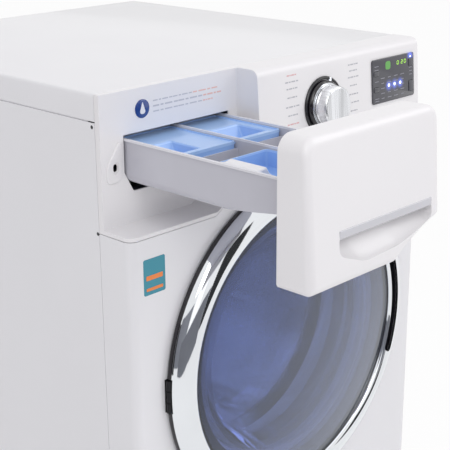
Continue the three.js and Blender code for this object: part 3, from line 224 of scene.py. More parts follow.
# ---------------------------------------------------------------- finishes
@dataclass(frozen=True)
class Finish:
    """A solid finish with fine relief, mottling and small changes of sheen."""

    name: str
    colour: Colour
    roughness: float = 0.4
    metallic: float = 0.0
    coat: float = 0.0
    grain: float = 900.0
    depth: float = 0.00002
    mottle: float = 0.03
    sheen_change: float = 0.08

    def tint(self, graph: Graph) -> Value:
        """Returns the colour over the surface."""
        darker = tuple(c * (1 - 2 * self.mottle) for c in self.colour)
        return graph.mix(graph.noise(6.0, 4.0).step(0.3, 0.7), self.colour, darker)

    def height(self, graph: Graph) -> Value:
        """Returns the relief, between 0 and 1."""
        return graph.noise(self.grain, 3.0)

    def sheen(self, graph: Graph) -> Value:
        """Returns the roughness over the surface."""
        return self.roughness + (graph.noise(14.0, 3.0) - 0.5) * self.sheen_change

    def inputs(self, graph: Graph) -> dict[str, Scalar | Colour]:
        """Returns what feeds the shader."""
        return dict(
            Base_Color=self.tint(graph),
            Roughness=self.sheen(graph),
            Metallic=self.metallic,
            Coat_Weight=self.coat,
            Coat_Roughness=0.08,
            Normal=graph.bump(self.height(graph), self.depth),
        )

    def make(self) -> bpy.types.Material:
        """Makes the material and returns it."""
        graph = Graph(self.name)
        return graph.close(graph.principled(**self.inputs(graph)))


@dataclass(frozen=True)
class Brushed(Finish):
    """Metal with fine straight brush lines."""

    lines: float = 520.0

    def height(self, graph: Graph) -> Value:
        """Returns the brush lines."""
        return graph.noise(self.lines, 4.0, (0.05, 4.0))


@dataclass(frozen=True)
class Streaked(Finish):
    """Silver with soft upright streaks of dark and light: the spun grain, with its sheen painted
    into the colour as painted highlights and shade.
    """

    streaks: float = 260.0
    darkest: float = 0.72

    def tint(self, graph: Graph) -> Value:
        """Returns the colour, with painted sheen streaks."""
        sheen_streaks = graph.noise(self.streaks, 3.0, (0.1, 0.02)).step(0.35, 0.65)
        dark = tuple(self.darkest * c for c in self.colour)
        return graph.mix(sheen_streaks, dark, self.colour)


@dataclass(frozen=True)
class Banded(Finish):
    """Chrome inside a radius and black gloss outside it. On the knob's skirt the black is the
    part's own colour; on the door ring the thin black rim is painted shade for the gap round the
    ring.
    """

    centre: Point = (0.0, 0.0)
    border: float = 0.037
    blur: float = 0.0003
    outer: Colour = (0.012, 0.01, 0.014)

    def inputs(self, graph: Graph) -> dict[str, Scalar | Colour]:
        """Returns what feeds the shader."""
        radius, _ = graph.around(*self.centre)
        outside = radius.step(self.border - self.blur, self.border)
        return dict(
            Base_Color=graph.mix(outside, self.tint(graph), self.outer),
            Roughness=self.sheen(graph),
            Metallic=1.0 - outside,
            Coat_Weight=outside * 0.2,
        )


@dataclass(frozen=True)
class Glowing(Finish):
    """A dark film with soft pools of light round its lamps."""

    spots: tuple[Point, ...] = ()
    reach: float = 0.0145
    glow: Colour = (0.12, 0.2, 1.0)
    strength: float = 1.1

    def inputs(self, graph: Graph) -> dict[str, Scalar | Colour]:
        """Returns what feeds the shader."""
        near = [1.0 - graph.around(*spot)[0].step(0.0, self.reach) for spot in self.spots]
        pool = sum((share * share for share in near), 0.0)
        return dict(
            Base_Color=self.tint(graph),
            Roughness=self.sheen(graph),
            Coat_Weight=self.coat,
            Emission_Color=graph.mix(pool, (0.0, 0.0, 0.0), self.glow),
            Emission_Strength=self.strength,
        )


@dataclass(frozen=True)
class Perforated(Finish):
    """Polished sheet with rows of small holes round the drum; the holes are painted dark as the
    shade seen through them.
    """

    centre: Point = (0.0, 0.0)
    radius: float = 0.27
    pitch: float = 0.0155
    hole: float = 0.0022
    rim: float = 0.012
    ribs: float = 18.0
    # painted shade: the colour of the holes stands for the shade seen through them
    dark: Colour = (0.01, 0.01, 0.02)

    def holes(self, graph: Graph) -> Value:
        """Args:
            graph: The graph being built.

        Returns:
            1 in a hole and 0 elsewhere.
        """
        radius, turn = graph.around(*self.centre)
        _, y, _ = graph.axes()
        across = turn * round(math.tau * self.radius / self.pitch)
        along = y / self.pitch
        row = graph.math("FLOOR", along)
        shifted = across + graph.math("MODULO", row, 2.0) * 0.5
        dx = shifted.ripple() * 2.0 - 1.0
        dy = along.ripple() * 2.0 - 1.0
        near = graph.math("SQRT", dx * dx + dy * dy)
        wall = radius > self.radius - self.rim
        return (near < 2.0 * self.hole / self.pitch) * wall

    def tint(self, graph: Graph) -> Value:
        """Returns the colour, with the holes painted dark as painted shade."""
        return graph.mix(self.holes(graph), Finish.tint(self, graph), self.dark)

    def height(self, graph: Graph) -> Value:
        """Returns the relief: dimpled holes on a sheet with shallow ribs."""
        _, turn = graph.around(*self.centre)
        rib = (turn * self.ribs).ripple().step(0.0, 0.12)
        return rib * 0.6 - self.holes(graph) * 0.5


@dataclass(frozen=True)
class Rimmed(Finish):
    """A moulding whose top edge is painted paler than its walls, as a painted highlight where light
    falls on the rim.
    """

    rim_highlight: Colour = (0.8, 0.8, 0.82)
    rim_z: float = 0.0

    def tint(self, graph: Graph) -> Value:
        """Returns the colour, with a painted highlight on all that lies above the rim's height."""
        _, _, z = graph.axes()
        # painted highlight: above rim_z the moulding takes the paler rim colour
        return graph.mix(z > self.rim_z, Finish.tint(self, graph), self.rim_highlight)


@dataclass(frozen=True)
class Glazing:
    """Glass that light passes straight through, with a mirror of the room on it."""

    name: str
    tint: Colour
    mirror: float = 0.1
    edge_mirror: float = 0.5
    centre: Point = (0.0, 0.0)
    border: Point | None = None
    border_colour: Colour = (0.02, 0.022, 0.03)

    def make(self) -> bpy.types.Material:
        """Makes a mirror that grows towards grazing sight, with a dark border if there is one.

        Returns:
            The material.
        """
        graph = Graph(self.name)
        smear = graph.noise(9.0, 3.0).step(0.35, 0.75)
        clear = graph.node("ShaderNodeBsdfTransparent", None, {0: self.tint})
        gloss = graph.principled(
            Base_Color=(0.9, 0.93, 1.0), Metallic=1.0, Roughness=0.02 + smear * 0.03
        )
        facing = graph.node("ShaderNodeLayerWeight", None, {"Blend": 0.5}, out="Facing")
        share = self.mirror + facing * facing * facing * self.edge_mirror
        shader = graph.blend(share, clear, gloss)
        if self.border:
            radius, _ = graph.around(*self.centre)
            edge = graph.principled(Base_Color=self.border_colour, Roughness=0.35, Coat_Weight=0.1)
            shader = graph.blend(radius.step(*self.border), shader, edge)
        return graph.close(shader)


@dataclass(frozen=True)
class Lit(Finish):
    """A lamp or a lit mark."""

    strength: float = 4.0
    unlit: Colour = (0.02, 0.02, 0.02)

    def inputs(self, graph: Graph) -> dict[str, Scalar | Colour]:
        """Returns what feeds the shader."""
        cloud = graph.noise(500.0).step(0.2, 0.8)
        dim = tuple(0.9 * c for c in self.colour)
        return dict(
            Base_Color=self.unlit,
            Roughness=0.3,
            Emission_Color=graph.mix(cloud, self.colour, dim),
            Emission_Strength=self.strength,
        )


# ---------------------------------------------------------------- shared places
def middle_of(node: str) -> Vector:
    """Returns the middle of a node's box."""
    low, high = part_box(node)
    return (low + high) / 2


@dataclass(frozen=True)
class Datum:
    """Places that several sub-assemblies share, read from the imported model."""

    half_width: float
    top: float
    wall_y: float
    door: Point
    ring_radius: float
    window_radius: float
    ring_front: float
    ring_rear: float

    @classmethod
    def read(cls) -> "Datum":
        """Returns:
            The places, from the boxes of the nodes that set them.
        """
        seam_depth = 0.010
        ring_low, ring_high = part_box("door_ring")
        return cls(
            half_width=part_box("top_cover")[1].x,
            top=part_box("top_cover")[1].z,
            wall_y=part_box("control_console")[1].y - seam_depth,
            door=(0.0, middle_of("drum").z),
            ring_radius=ring_high.x,
            window_radius=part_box("door_window")[1].x,
            ring_front=ring_low.y,
            ring_rear=ring_high.y,
        )


DATUM = Datum.read()
FACE_TOP_DEPTH, FACE_FOOT_DEPTH, FACE_HEIGHT = 0.042, 0.056, 0.195


def face_depth(z: float) -> float:
    """Returns how far the leaning face stands in front of the recess wall at a height."""
    drift = FACE_FOOT_DEPTH - FACE_TOP_DEPTH
    return FACE_TOP_DEPTH + drift * (DATUM.top - z) / FACE_HEIGHT


@dataclass(frozen=True)
class Plane:
    """A flat face to print or mount on, with u to the right, v up and w out of it."""

    origin: Vector
    right: Vector
    up: Vector

    def at(self, u: float, v: float, w: float = 0.0) -> Vector:
        """Returns the point at u, v and w from the origin."""
        return self.origin + self.right * u + self.up * v + self.right.cross(self.up) * w


def console_plane() -> Plane:
    """Returns:
        The console's leaning face, with its origin at the middle of the top edge.
    """
    rise = Vector((0.0, FACE_FOOT_DEPTH - FACE_TOP_DEPTH, FACE_HEIGHT)).normalized()
    return Plane(Vector((0.0, DATUM.wall_y - FACE_TOP_DEPTH, DATUM.top)), Vector((1, 0, 0)), rise)


# ---------------------------------------------------------------- meshes
def filleted(corners: Sequence[tuple], steps: int = 8) -> list[Point]:
    """Rounds the corners of an outline.

    Args:
        corners: The corners, each x, y and an optional radius.
        steps: Facets in each rounded corner.

    Returns:
        The outline's points.
    """
    points: list[Point] = []
    count = len(corners)
    for i, (x, y, *rest) in enumerate(corners):
        radius = rest[0] if rest else 0.0
        here = Vector((x, y))
        if radius <= 0:
            points.append((x, y))
            continue
        before = (Vector(corners[i - 1][:2]) - here).normalized()
        after = (Vector(corners[(i + 1) % count][:2]) - here).normalized()
        half = before.angle(after) / 2
        centre = here + (before + after).normalized() * (radius / math.sin(half))
        start = here + before * (radius / math.tan(half)) - centre
        end = here + after * (radius / math.tan(half)) - centre
        first = math.atan2(start.y, start.x)
        sweep = math.atan2(end.y, end.x) - first
        sweep = math.atan2(math.sin(sweep), math.cos(sweep))
        for k in range(steps + 1):
            angle = first + sweep * k / steps
            x, y = centre.x + radius * math.cos(angle), centre.y + radius * math.sin(angle)
            points.append((x, y))
    return points


def rectangle(low: Point, high: Point, radius: float = 0.0, steps: int = 8) -> list[Point]:
    """Args:
        low: The lower left corner.
        high: The upper right corner.
        radius: The corners' radius.
        steps: Facets in each rounded corner.

    Returns:
        The outline, anticlockwise.
    """
    (x0, y0), (x1, y1) = low, high
    corners = ((x0, y0), (x1, y0), (x1, y1), (x0, y1))
    return filleted([(*corner, radius) for corner in corners], steps)


def inset(outline: Sequence[Point], distance: float) -> list[Point]:
    """Args:
        outline: A closed outline, anticlockwise.
        distance: How far in to move it.

    Returns:
        The moved outline.
    """
    moved = []
    count = len(outline)
    for i, (x, y) in enumerate(outline):
        before = (Vector((x, y)) - Vector(outline[i - 1])).normalized()
        after = (Vector(outline[(i + 1) % count]) - Vector((x, y))).normalized()
        normal_a = Vector((-before.y, before.x))
        normal_b = Vector((-after.y, after.x))
        shift = (normal_a + normal_b) / (1 + normal_a.dot(normal_b)) * distance
        moved.append((x + shift.x, y + shift.y))
    return moved


class Piece:
    """A mesh being built in the row frame."""

    def __init__(self, name: str) -> None:
        """Starts an empty mesh for an object of that name."""
        self.name = name
        self.bm = bmesh.new()

    @classmethod
    def from_node(cls, node: str) -> "Piece":
        """Starts from a CAD node's form, with its flat faces made whole.

        Args:
            node: The node's name.

        Returns:
            The piece.
        """
        piece = cls(f"{node}_look")
        piece.bm.from_mesh(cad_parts[node].data)
        bmesh.ops.remove_doubles(piece.bm, verts=piece.bm.verts, dist=0.00002)
        bmesh.ops.dissolve_limit(
            piece.bm, angle_limit=math.radians(0.4), verts=piece.bm.verts, edges=piece.bm.edges
        )
        return piece

    def loft(self, loops: Sequence[Sequence[Vector]], closed: bool = False) -> "Piece":
        """Joins loops of equal length with faces.

        Args:
            loops: The loops, in order.
            closed: Whether the last loop joins the first. Otherwise both ends are filled.

        Returns:
            This piece.
        """
        rows = [[self.bm.verts.new(p) for p in loop] for loop in loops]
        pairs = list(zip(rows, rows[1:]))
        if closed:
            pairs.append((rows[-1], rows[0]))
        made = []
        for row, following in pairs:
            count = len(row)
            for k in range(count):
                n = (k + 1) % count
                made.append(self.bm.faces.new((row[k], row[n], following[n], following[k])))
        if not closed:
            made += [self.bm.faces.new(rows[0]), self.bm.faces.new(rows[-1])]
        bmesh.ops.remove_doubles(self.bm, verts=[v for row in rows for v in row], dist=1e-7)
        bmesh.ops.recalc_face_normals(self.bm, faces=[f for f in made if f.is_valid])
        return self

    def revolve(self, profile: Sequence[Point], centre: Point, segments: int) -> "Piece":
        """Turns a closed profile about a line along y.

        Args:
            profile: The profile's radius and y pairs.
            centre: The line's x and z.
            segments: Facets in a full turn.

        Returns:
            This piece.
        """
        loops = []
        for k in range(segments):
            angle = math.tau * k / segments
            c, s = math.cos(angle), math.sin(angle)
            loops.append([Vector((centre[0] + r * c, y, centre[1] + r * s)) for r, y in profile])
        return self.loft(loops, closed=True)

    def extrude(self, outline: Sequence[Point], place: Place, low: float, high: float) -> "Piece":
        """Args:
            outline: A closed outline.
            place: Turns outline x, outline y and height into a point.
            low: The first height.
            high: The last height.

        Returns:
            This piece.
        """
        return self.loft([[place(x, y, h) for x, y in outline] for h in (low, high)])

    def cushion(
        self,
        outline: "Sequence[Point] | Callable[[float], Sequence[Point]]",
        place: Place,
        low: float,
        high: float,
        radius: float,
        steps: int,
    ) -> "Piece":
        """Extrudes an outline and rounds the edge of its high face.

        Args:
            outline: A closed outline, anticlockwise, or what gives it at a distance in.
            place: Turns outline x, outline y and height into a point.
            low: The first height.
            high: The last height.
            radius: The rounded edge's radius.
            steps: Facets in the rounded edge.

        Returns:
            This piece.
        """
        sign = 1.0 if high > low else -1.0
        at = outline if callable(outline) else lambda distance: inset(outline, distance)
        loops = [[place(x, y, low) for x, y in at(0.0)]]
        for k in range(steps + 1):
            angle = math.pi / 2 * k / steps
            height = high - sign * radius * (1 - math.sin(angle))
            ring = at(radius * (1 - math.cos(angle)))
            loops.append([place(x, y, height) for x, y in ring])
        return self.loft(loops)

    def placed(self) -> bpy.types.Object:
        """Puts the mesh so far into the scene and returns the object."""
        mesh = bpy.data.meshes.new(self.name)
        self.bm.to_mesh(mesh)
        obj = bpy.data.objects.new(self.name, mesh)
        bpy.context.scene.collection.objects.link(obj)
        return obj

    def cut(self, *tools: "Piece") -> "Piece":
        """Args:
            *tools: The forms to take away.

        Returns:
            This piece, with them taken away.
        """
        base = self.placed()
        helpers = [tool.placed() for tool in tools]
        for helper in helpers:
            step = base.modifiers.new("cut", "BOOLEAN")
            step.operation, step.solver, step.object = "DIFFERENCE", "EXACT", helper
        bpy.context.view_layer.update()
        graph = bpy.context.evaluated_depsgraph_get()
        mesh = bpy.data.meshes.new_from_object(base.evaluated_get(graph))
        self.bm.free()
        self.bm = bmesh.new()
        self.bm.from_mesh(mesh)
        for obj in (base, *helpers):
            bpy.data.objects.remove(obj)
        return self

    def done(
        self,
        look: "Look",
        body: str,
        nodes: Sequence[str],
        edge: float,
    ) -> bpy.types.Object:
        """Turns the mesh into a dressed object that rides on its body.

        Args:
            look: The finish.
            body: The CAD body that the piece moves with.
            nodes: The CAD nodes that it stands for.
            edge: The width of the rounding on its edges, or 0 for none.

        Returns:
            The object.
        """
        for face in self.bm.faces:
            face.smooth = True
        for line in self.bm.edges:
            line.smooth = line.is_manifold and line.calc_face_angle(math.pi) < SMOOTH_BELOW
        obj = self.placed()
        self.bm.free()
        if edge:
            rounding = obj.modifiers.new("edge", "BEVEL")
            rounding.width, rounding.segments = edge, 2
            rounding.limit_method, rounding.angle_limit = "ANGLE", SMOOTH_BELOW
            rounding.harden_normals = True
        obj.data.materials.append(look.material())
        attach(obj, body)
        if nodes:
            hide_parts(*nodes)
        return obj


def forward(x: float, z: float, depth: float) -> Vector:
    """Returns the point of an upright outline at a depth."""
    return Vector((x, depth, z))


def upward(x: float, y: float, height: float) -> Vector:
    """Returns the point of a flat outline at a height."""
    return Vector((x, y, height))


# ---------------------------------------------------------------- the looks in use
KNOB_CENTRE = (middle_of("knob_cap").x, middle_of("knob_cap").z)
TRAY_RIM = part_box("drawer_body")[1].z
LAMP_SPOTS = tuple((0.2545 + 0.0162 * k, 0.9125) for k in range(3)) + ((0.317, 0.9555),)
CUP_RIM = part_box("softener_cup")[1].z
CHROME = (0.8, 0.82, 0.85)
WINDOW_BORDER = (DATUM.window_radius - 0.0045, DATUM.window_radius - 0.004)


class Look(Enum):
    """Every finish on the machine."""

    ENAMEL = Finish(
        "white enamel", (0.83, 0.83, 0.85), 0.3,
        coat=0.35, grain=420, depth=0.00001, mottle=0.006,
    )
    MOULDED = Finish(
        "white moulding", (0.855, 0.845, 0.855), 0.36,
        coat=0.25, grain=1500, mottle=0.006,
    )
    GLOSS_BAR = Finish("satin grip bar", (0.62, 0.62, 0.66), 0.2, coat=0.6)
    ZINC = Finish(
        "zinc coated sheet", (0.5, 0.52, 0.54), 0.42, 1.0,
        grain=60, depth=0.00004, mottle=0.05,
    )
    PLATED = Brushed("plated steel", (0.55, 0.56, 0.58), 0.3, 1.0)
    # the tray's paler rim is a painted highlight on its top edge
    TRAY = Rimmed(
        "tray moulding", (0.58, 0.58, 0.64), 0.34,
        coat=0.3, rim_highlight=(0.76, 0.76, 0.8), rim_z=TRAY_RIM - 0.0034,
    )
    # the cups' paler rims are a painted highlight on their top edges
    INSERT = Rimmed(
        "insert moulding", (0.3, 0.5, 0.9), 0.3,
        coat=0.4, rim_highlight=(0.4, 0.6, 0.95), rim_z=CUP_RIM - 0.0042,
    )
    SADDLE = Finish("white insert", (0.88, 0.88, 0.9), 0.4, coat=0.2)
    # painted shade: the housing is painted near black so that the slot over the tray reads as deep
    # shadow
    HOUSING = Finish("housing with painted shade", (0.06, 0.065, 0.09), 0.6, grain=1200, depth=0.00004)
    GREY_MOULDED = Finish("grey moulding", (0.5, 0.51, 0.55), 0.5, grain=1200, depth=0.00004)
    SKIRT = Banded(
        "skirt plating", CHROME, 0.06,
        centre=KNOB_CENTRE, border=0.0362, sheen_change=0.03,
    )
    # painted shade: the black gloss on the bead's outer millimetre stands for the dark gap between
    # the ring and the front panel
    RING = Banded(
        "ring plating", CHROME, 0.05,
        centre=DATUM.door, border=DATUM.ring_radius - 0.001, sheen_change=0.03,
    )
    # the cap's streaks are partly spun grain and partly painted sheen
    SPUN = Streaked("spun silver", (0.84, 0.85, 0.88), 0.24, 1.0)
    DRUM = Perforated(
        "perforated drum", (0.62, 0.64, 0.68), 0.2, 1.0,
        depth=0.0012, centre=DATUM.door,
    )
    CAST = Finish("cast alloy", (0.55, 0.56, 0.57), 0.5, 1.0, grain=300, depth=0.0001)
    COPPER = Brushed("copper winding", (0.6, 0.28, 0.13), 0.35, 0.8, lines=900.0)
    BLACK_GLOSS = Finish("black gloss", (0.012, 0.012, 0.016), 0.22, coat=0.15, sheen_change=0.03)
    BLACK = Finish("black moulding", (0.025, 0.025, 0.028), 0.5, grain=1400, depth=0.00005)
    FILM = Glowing("display film", (0.05, 0.05, 0.065), 0.22, coat=0.6, spots=LAMP_SPOTS)
    KEY = Finish("key cap", (0.06, 0.06, 0.075), 0.25, coat=0.5, depth=0.000004)
    # painted shade: the cast alloy hinge is painted near black to stand for the shadow in its slot
    HINGE = Finish("hinge with painted shade", (0.015, 0.015, 0.018), 0.4, 0.6)
    RUBBER = Finish("grey rubber", (0.2, 0.205, 0.215), 0.62, grain=700, depth=0.00006, mottle=0.06)
    FOOT_RUBBER = Finish("black rubber", (0.03, 0.03, 0.03), 0.75, grain=500, depth=0.0001)
    TUB = Finish(
        "glass filled plastic", (0.4, 0.41, 0.42), 0.6,
        grain=260, depth=0.0001, mottle=0.08,
    )
    CONCRETE = Finish(
        "cast concrete", (0.36, 0.35, 0.33), 0.9,
        grain=160, depth=0.0006, mottle=0.15,
    )
    WINDOW = Glazing("smoke blue window", (0.62, 0.66, 0.8), 0.02, 1.35, DATUM.door, WINDOW_BORDER)
    BOWL = Glazing("clear bowl", (0.93, 0.95, 0.99), 0.05, 2.4)
    PRINT = Finish("grey print", (0.5, 0.5, 0.54), 0.5)
    PRINT_RED = Finish("red print", (0.76, 0.46, 0.47), 0.5)
    PRINT_PALE = Finish("pale print", (0.58, 0.58, 0.63), 0.4)
    PRINT_DIM = Finish("dim print", (0.28, 0.28, 0.33), 0.4)
    PRINT_SALMON = Finish("salmon print", (0.85, 0.55, 0.48), 0.5)
    NAVY = Finish("navy print", (0.01, 0.05, 0.25), 0.25, coat=0.6)
    TEAL = Finish("teal film", (0.02, 0.27, 0.36), 0.3, coat=0.4)
    ORANGE = Finish("orange print", (0.9, 0.25, 0.05), 0.35, coat=0.3)
    WHITE_LIT = Lit("white lamp", (0.86, 0.9, 1.0), strength=2.2)
    GREEN_LIT = Lit("green lamp", (0.42, 0.9, 0.06), strength=1.6)
    GREEN_DIM = Lit("green mark", (0.12, 0.42, 0.08), strength=0.9)

    def material(self) -> bpy.types.Material:
        """Returns the look's material, made once."""
        return bpy.data.materials.get(self.value.name) or self.value.make()


class Assembly:
    """A group of pieces that belong together."""

    title = "assembly"
    made = 0

    def build(self) -> None:
        """Makes and dresses its pieces."""
        raise NotImplementedError

    def add(
        self, piece: Piece, look: Look, body: str, slot: str, *nodes: str, edge: float = 0.0
    ) -> None:
        """Finishes a piece, counts it and reports it.

        Args:
            piece: The piece.
            look: Its finish.
            body: The body that it moves with.
            slot: The material slot; not used.
            *nodes: The CAD nodes that it stands for.
            edge: The rounding's width, or 0 for none.
        """
        obj = piece.done(look, body, nodes, edge)
        self.made += 1
        LOG.info("%s: %s", self.title, obj.name)

    def soften(self, body: str, look: Look, slot: str, edge: float, *nodes: str) -> None:
        """Shows CAD nodes with rounded edges.

        Args:
            body: The body that they move with.
            look: Their finish.
            slot: The material slot; not used.
            edge: The rounding's width.
            *nodes: The nodes.
        """
        for node in nodes:
            self.add(Piece.from_node(node), look, body, slot, node, edge=edge)

    def dress(self, look: Look, *nodes: str) -> None:
        """Gives CAD nodes that keep their form a finish.

        Args:
            look: The finish.
            *nodes: The nodes.
        """
        for node in nodes:
            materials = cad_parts[node].data.materials
            materials.clear()
            materials.append(look.material())
            self.made += 1
            LOG.info("%s: dressed %s", self.title, node)


# ---------------------------------------------------------------- cabinet
@dataclass
class Cabinet(Assembly):
    """The painted case, the panels behind it and the fittings on the rear."""

    title = "cabinet"
    screw_radius: float = 0.0028
    screw_places: tuple[Point, ...] = ((0.013, 0.781), (0.016, 0.936))
    rear_screws: int = 7
    rear_margin: Point = (0.03, 0.012)

    def build(self) -> None:
        """Makes and dresses its pieces."""
        self.soften("cabinet", Look.ENAMEL, "white_paint", 0.0022, "top_cover")
        panels = ("left_side_panel", "right_side_panel")
        self.soften("cabinet", Look.ENAMEL, "white_paint", 0.0005, *panels)
        self.soften("cabinet", Look.ENAMEL, "white_paint", 0.0009, "front_panel", "kick_panel")
        self.soften("filter_door", Look.ENAMEL, "white_paint", 0.0012, "filter_door")
        self.soften("cabinet", Look.ZINC, "zinc_sheet", 0.0005, "rear_access_cover")
        self.dress(Look.ZINC, "rear_panel", "base_pan")
        self.dress(Look.GREY_MOULDED, "drain_outlet", "power_gland", "inlet_valves")
        self.dress(Look.BLACK, "drain_pump", "filter_cap")
        self.screws()
        for k in range(1, 5):
            self.soften(f"foot_{k}", Look.FOOT_RUBBER, "foot_rubber", 0.0015, f"foot_{k}")

    def screws(self) -> None:
        """Adds screws at the side seams and along the rear panel's foot and head."""
        sides = Piece("side_screws")
        for sign in (-1, 1):
            for y, z in self.screw_places:
                self.head(sides, Vector((sign * DATUM.half_width, DATUM.wall_y + y, z)), sign, 0)
        self.add(sides, Look.BLACK, "cabinet", "black_plastic")
        rear = Piece("rear_screws")
        low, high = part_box("rear_panel")
        across, inward = self.rear_margin
        for k in range(self.rear_screws):
            x = low.x + across + (high.x - low.x - 2 * across) * k / (self.rear_screws - 1)
            for z in (low.z + inward, high.z - inward):
                self.head(rear, Vector((x, high.y, z)), 1, 1)
        self.add(rear, Look.PLATED, "cabinet", "plated_steel")

    def head(self, piece: Piece, spot: Vector, sign: int, axis: int) -> None:
        """Adds a low domed screw head.

        Args:
            piece: The piece that takes it.
            spot: The middle of its seat.
            sign: Which way it stands along its axis.
            axis: 0 for x and 1 for y.
        """
        rings = ((1.0, -0.5), (1.0, 0.0), (0.85, 0.05), (0.4, 0.08))
        loops = []
        for share, rise in rings:
            loop = []
            for k in range(12):
                angle = math.tau * k / 12
                out = sign * rise * self.screw_radius * 0.9
                a, b = (share * self.screw_radius * t for t in (math.cos(angle), math.sin(angle)))
                loop.append(spot + (Vector((out, a, b)) if axis == 0 else Vector((a, out, b))))
            loops.append(loop)
        piece.loft(loops)


@dataclass
class Plate(Assembly):
    """A plain two-colour film on the front panel, with no words."""

    title = "front film"
    left: float = -0.3205
    right: float = -0.279
    low: float = 0.697
    high: float = 0.7515
    thickness: float = 0.00025

    def build(self) -> None:
        """Makes and dresses its pieces."""
        y = DATUM.wall_y - FACE_FOOT_DEPTH
        outline = rectangle((self.left, self.low), (self.right, self.high), 0.003)
        base = Piece("front_film").extrude(outline, forward, y - self.thickness, y + 0.0005)
        self.add(base, Look.TEAL, "cabinet", "display_grey")
        band = Piece("front_film_band")
        third = (self.high - self.low) / 3
        for z, height in ((self.low + 0.006, 0.0045), (self.low + third + 0.004, 0.007)):
            bar = rectangle((self.left + 0.005, z), (self.right - 0.005, z + height), 0.001, 3)
            band.extrude(bar, forward, y - 2 * self.thickness, y)
        self.add(band, Look.ORANGE, "cabinet", "display_grey")


# ---------------------------------------------------------------- console
@dataclass
class Console(Assembly):
    """The white console with its recess wall, prints and the drawer's locating slot."""

    title = "console"
    face: Plane = field(default_factory=console_plane)
    label_rows: tuple[float, ...] = (0.016, 0.0262, 0.0368, 0.0505, 0.065, 0.0785, 0.0925)
    left_widths: tuple[float, ...] = (0.026, 0.036, 0.03, 0.027, 0.037, 0.027, 0.032)
    right_widths: tuple[float, ...] = (0.034, 0.027, 0.037, 0.024, 0.032, 0.036, 0.024)
    width_shares: Point = (0.85, 0.75)
    label_left: float = 0.0075
    label_right: float = 0.1605
    disc: Point = (-0.2637, 0.9515)
    disc_radius: float = 0.0135
    printed: float = 0.00018

    def build(self) -> None:
        """Makes and dresses its pieces."""
        self.soften("cabinet", Look.MOULDED, "white_moulding", 0.0012, "control_console")
        self.soften("cabinet", Look.HOUSING, "grey_moulding", 0.0005, "dispenser_housing")
        self.dress(Look.BLACK, "control_box")
        self.labels()
        self.recess()
        self.locator()

    def on_face(self, u: float, v: float, w: float) -> Vector:
        """Returns the point right, down and out from the middle of the top edge."""
        return self.face.at(u, -v, w)

    def on_wall(self, u: float, v: float, w: float) -> Vector:
        """Returns the point across, up and out of the recess wall."""
        return Vector((u, DATUM.wall_y - w, v))

    def words(
        self, piece: Piece, place: Place, u: float, v: float, width: float, height: float
    ) -> None:
        """Adds a row of short bars of uneven length, as print that is too small to read.

        Args:
            piece: The piece that takes them.
            place: Turns u, v and height into a point.
            u: The row's left end.
            v: Its middle.
            width: Its length.
            height: Its thickness in the face.
        """
        shares = (0.17, 0.3, 0.12, 0.24)
        gap, half = 0.0567 * width, height / 2
        for share in shares if int(width * 1000) % 2 else shares[::-1]:
            outline = rectangle((u, v - half), (u + width * share, v + half), half * 0.6, 2)
            piece.extrude(outline, place, -0.0004, self.printed)
            u += width * share + gap

    def labels(self) -> None:
        """Prints plain bars beside the knob in the place of programme names."""
        grey, red = Piece("programme_marks"), Piece("programme_marks_ends")
        last = len(self.label_rows) - 1
        rows = zip(self.label_rows, self.left_widths, self.right_widths)
        for row, (drop, left, right) in enumerate(rows):
            ends = red if row in (0, last) else grey
            sides = ((ends, self.label_left, left, 0.002), (grey, self.label_right, right, 0.006))
            for share, (piece, middle, width, below) in zip(self.width_shares, sides):
                length = width * share
                self.words(piece, self.on_face, middle - length / 2, drop + below, length, 0.002)
        self.add(grey, Look.PRINT, "cabinet", "display_grey")
        self.add(red, Look.PRINT_RED, "cabinet", "display_grey")

    def recess(self) -> None:
        """Adds a plain disc with a water drop on the recess wall, and its thin printed bars."""
        (x, z), wall, r = self.disc, DATUM.wall_y, self.disc_radius
        profile = [
            (0.0, wall + 0.001), (r, wall + 0.001), (r, wall - 0.0006),
            (r - 0.0008, wall - 0.0012), (0.0, wall - 0.0012),
        ]
        disc = Piece("recess_disc").revolve(profile, self.disc, 48)
        self.add(disc, Look.NAVY, "cabinet", "display_grey")
        foot = [(x - 0.0062, z - 0.0075, 0.0035), (x + 0.0062, z - 0.0075, 0.0035)]
        drop = filleted([*foot, (x, z + 0.0105, 0.0006)], 6)
        mark = Piece("recess_droplet").extrude(drop, forward, wall - 0.001, wall - 0.0015)
        self.add(mark, Look.SADDLE, "cabinet", "white_moulding")
        grey, red = Piece("recess_lines"), Piece("recess_line_ends")
        start = x + 0.021
        rows = ((-0.112, 0.0026, 0.6), (-0.104, 0.0032, 0.72), (-0.122, 0.0026, 0.82))
        for row, (end, height, share) in enumerate(rows):
            v = z + 0.008 - 0.0078 * row
            split = start + (end - start) * share
            half = (split - start) / 2
            parts = ((grey, start, half), (grey, (start + split) / 2, half))
            for piece, u, width in (*parts, (red, split + 0.001, end - split)):
                self.words(piece, self.on_wall, u, v, width - 0.001, height * 0.7)
        self.add(grey, Look.PRINT_PALE, "cabinet", "display_grey")
        self.add(red, Look.PRINT_SALMON, "cabinet", "display_grey")

    def locator(self) -> None:
        """Adds the soft raised teardrop round the drawer's locating slot."""
        wall = DATUM.wall_y
        foot = [(-0.334, 0.853, 0.008), (-0.306, 0.853, 0.012), (-0.3035, 0.905, 0.003)]
        outer = filleted([*foot, (-0.3105, 0.912, 0.003), (-0.334, 0.878, 0.014)])
        slot = [(-0.3225, 0.8635), (-0.3115, 0.87), (-0.3115, 0.8865), (-0.3225, 0.8805)]
        hole = filleted([(*corner, 0.0045) for corner in slot], 6)
        pad = Piece("locator_pad").cushion(outer, forward, wall + 0.0005, wall - 0.0022, 0.0021, 5)
        pad.cut(Piece("locator_hole").extrude(hole, forward, wall + 0.004, wall - 0.006))
        self.add(pad, Look.MOULDED, "cabinet", "white_moulding", edge=0.0004)


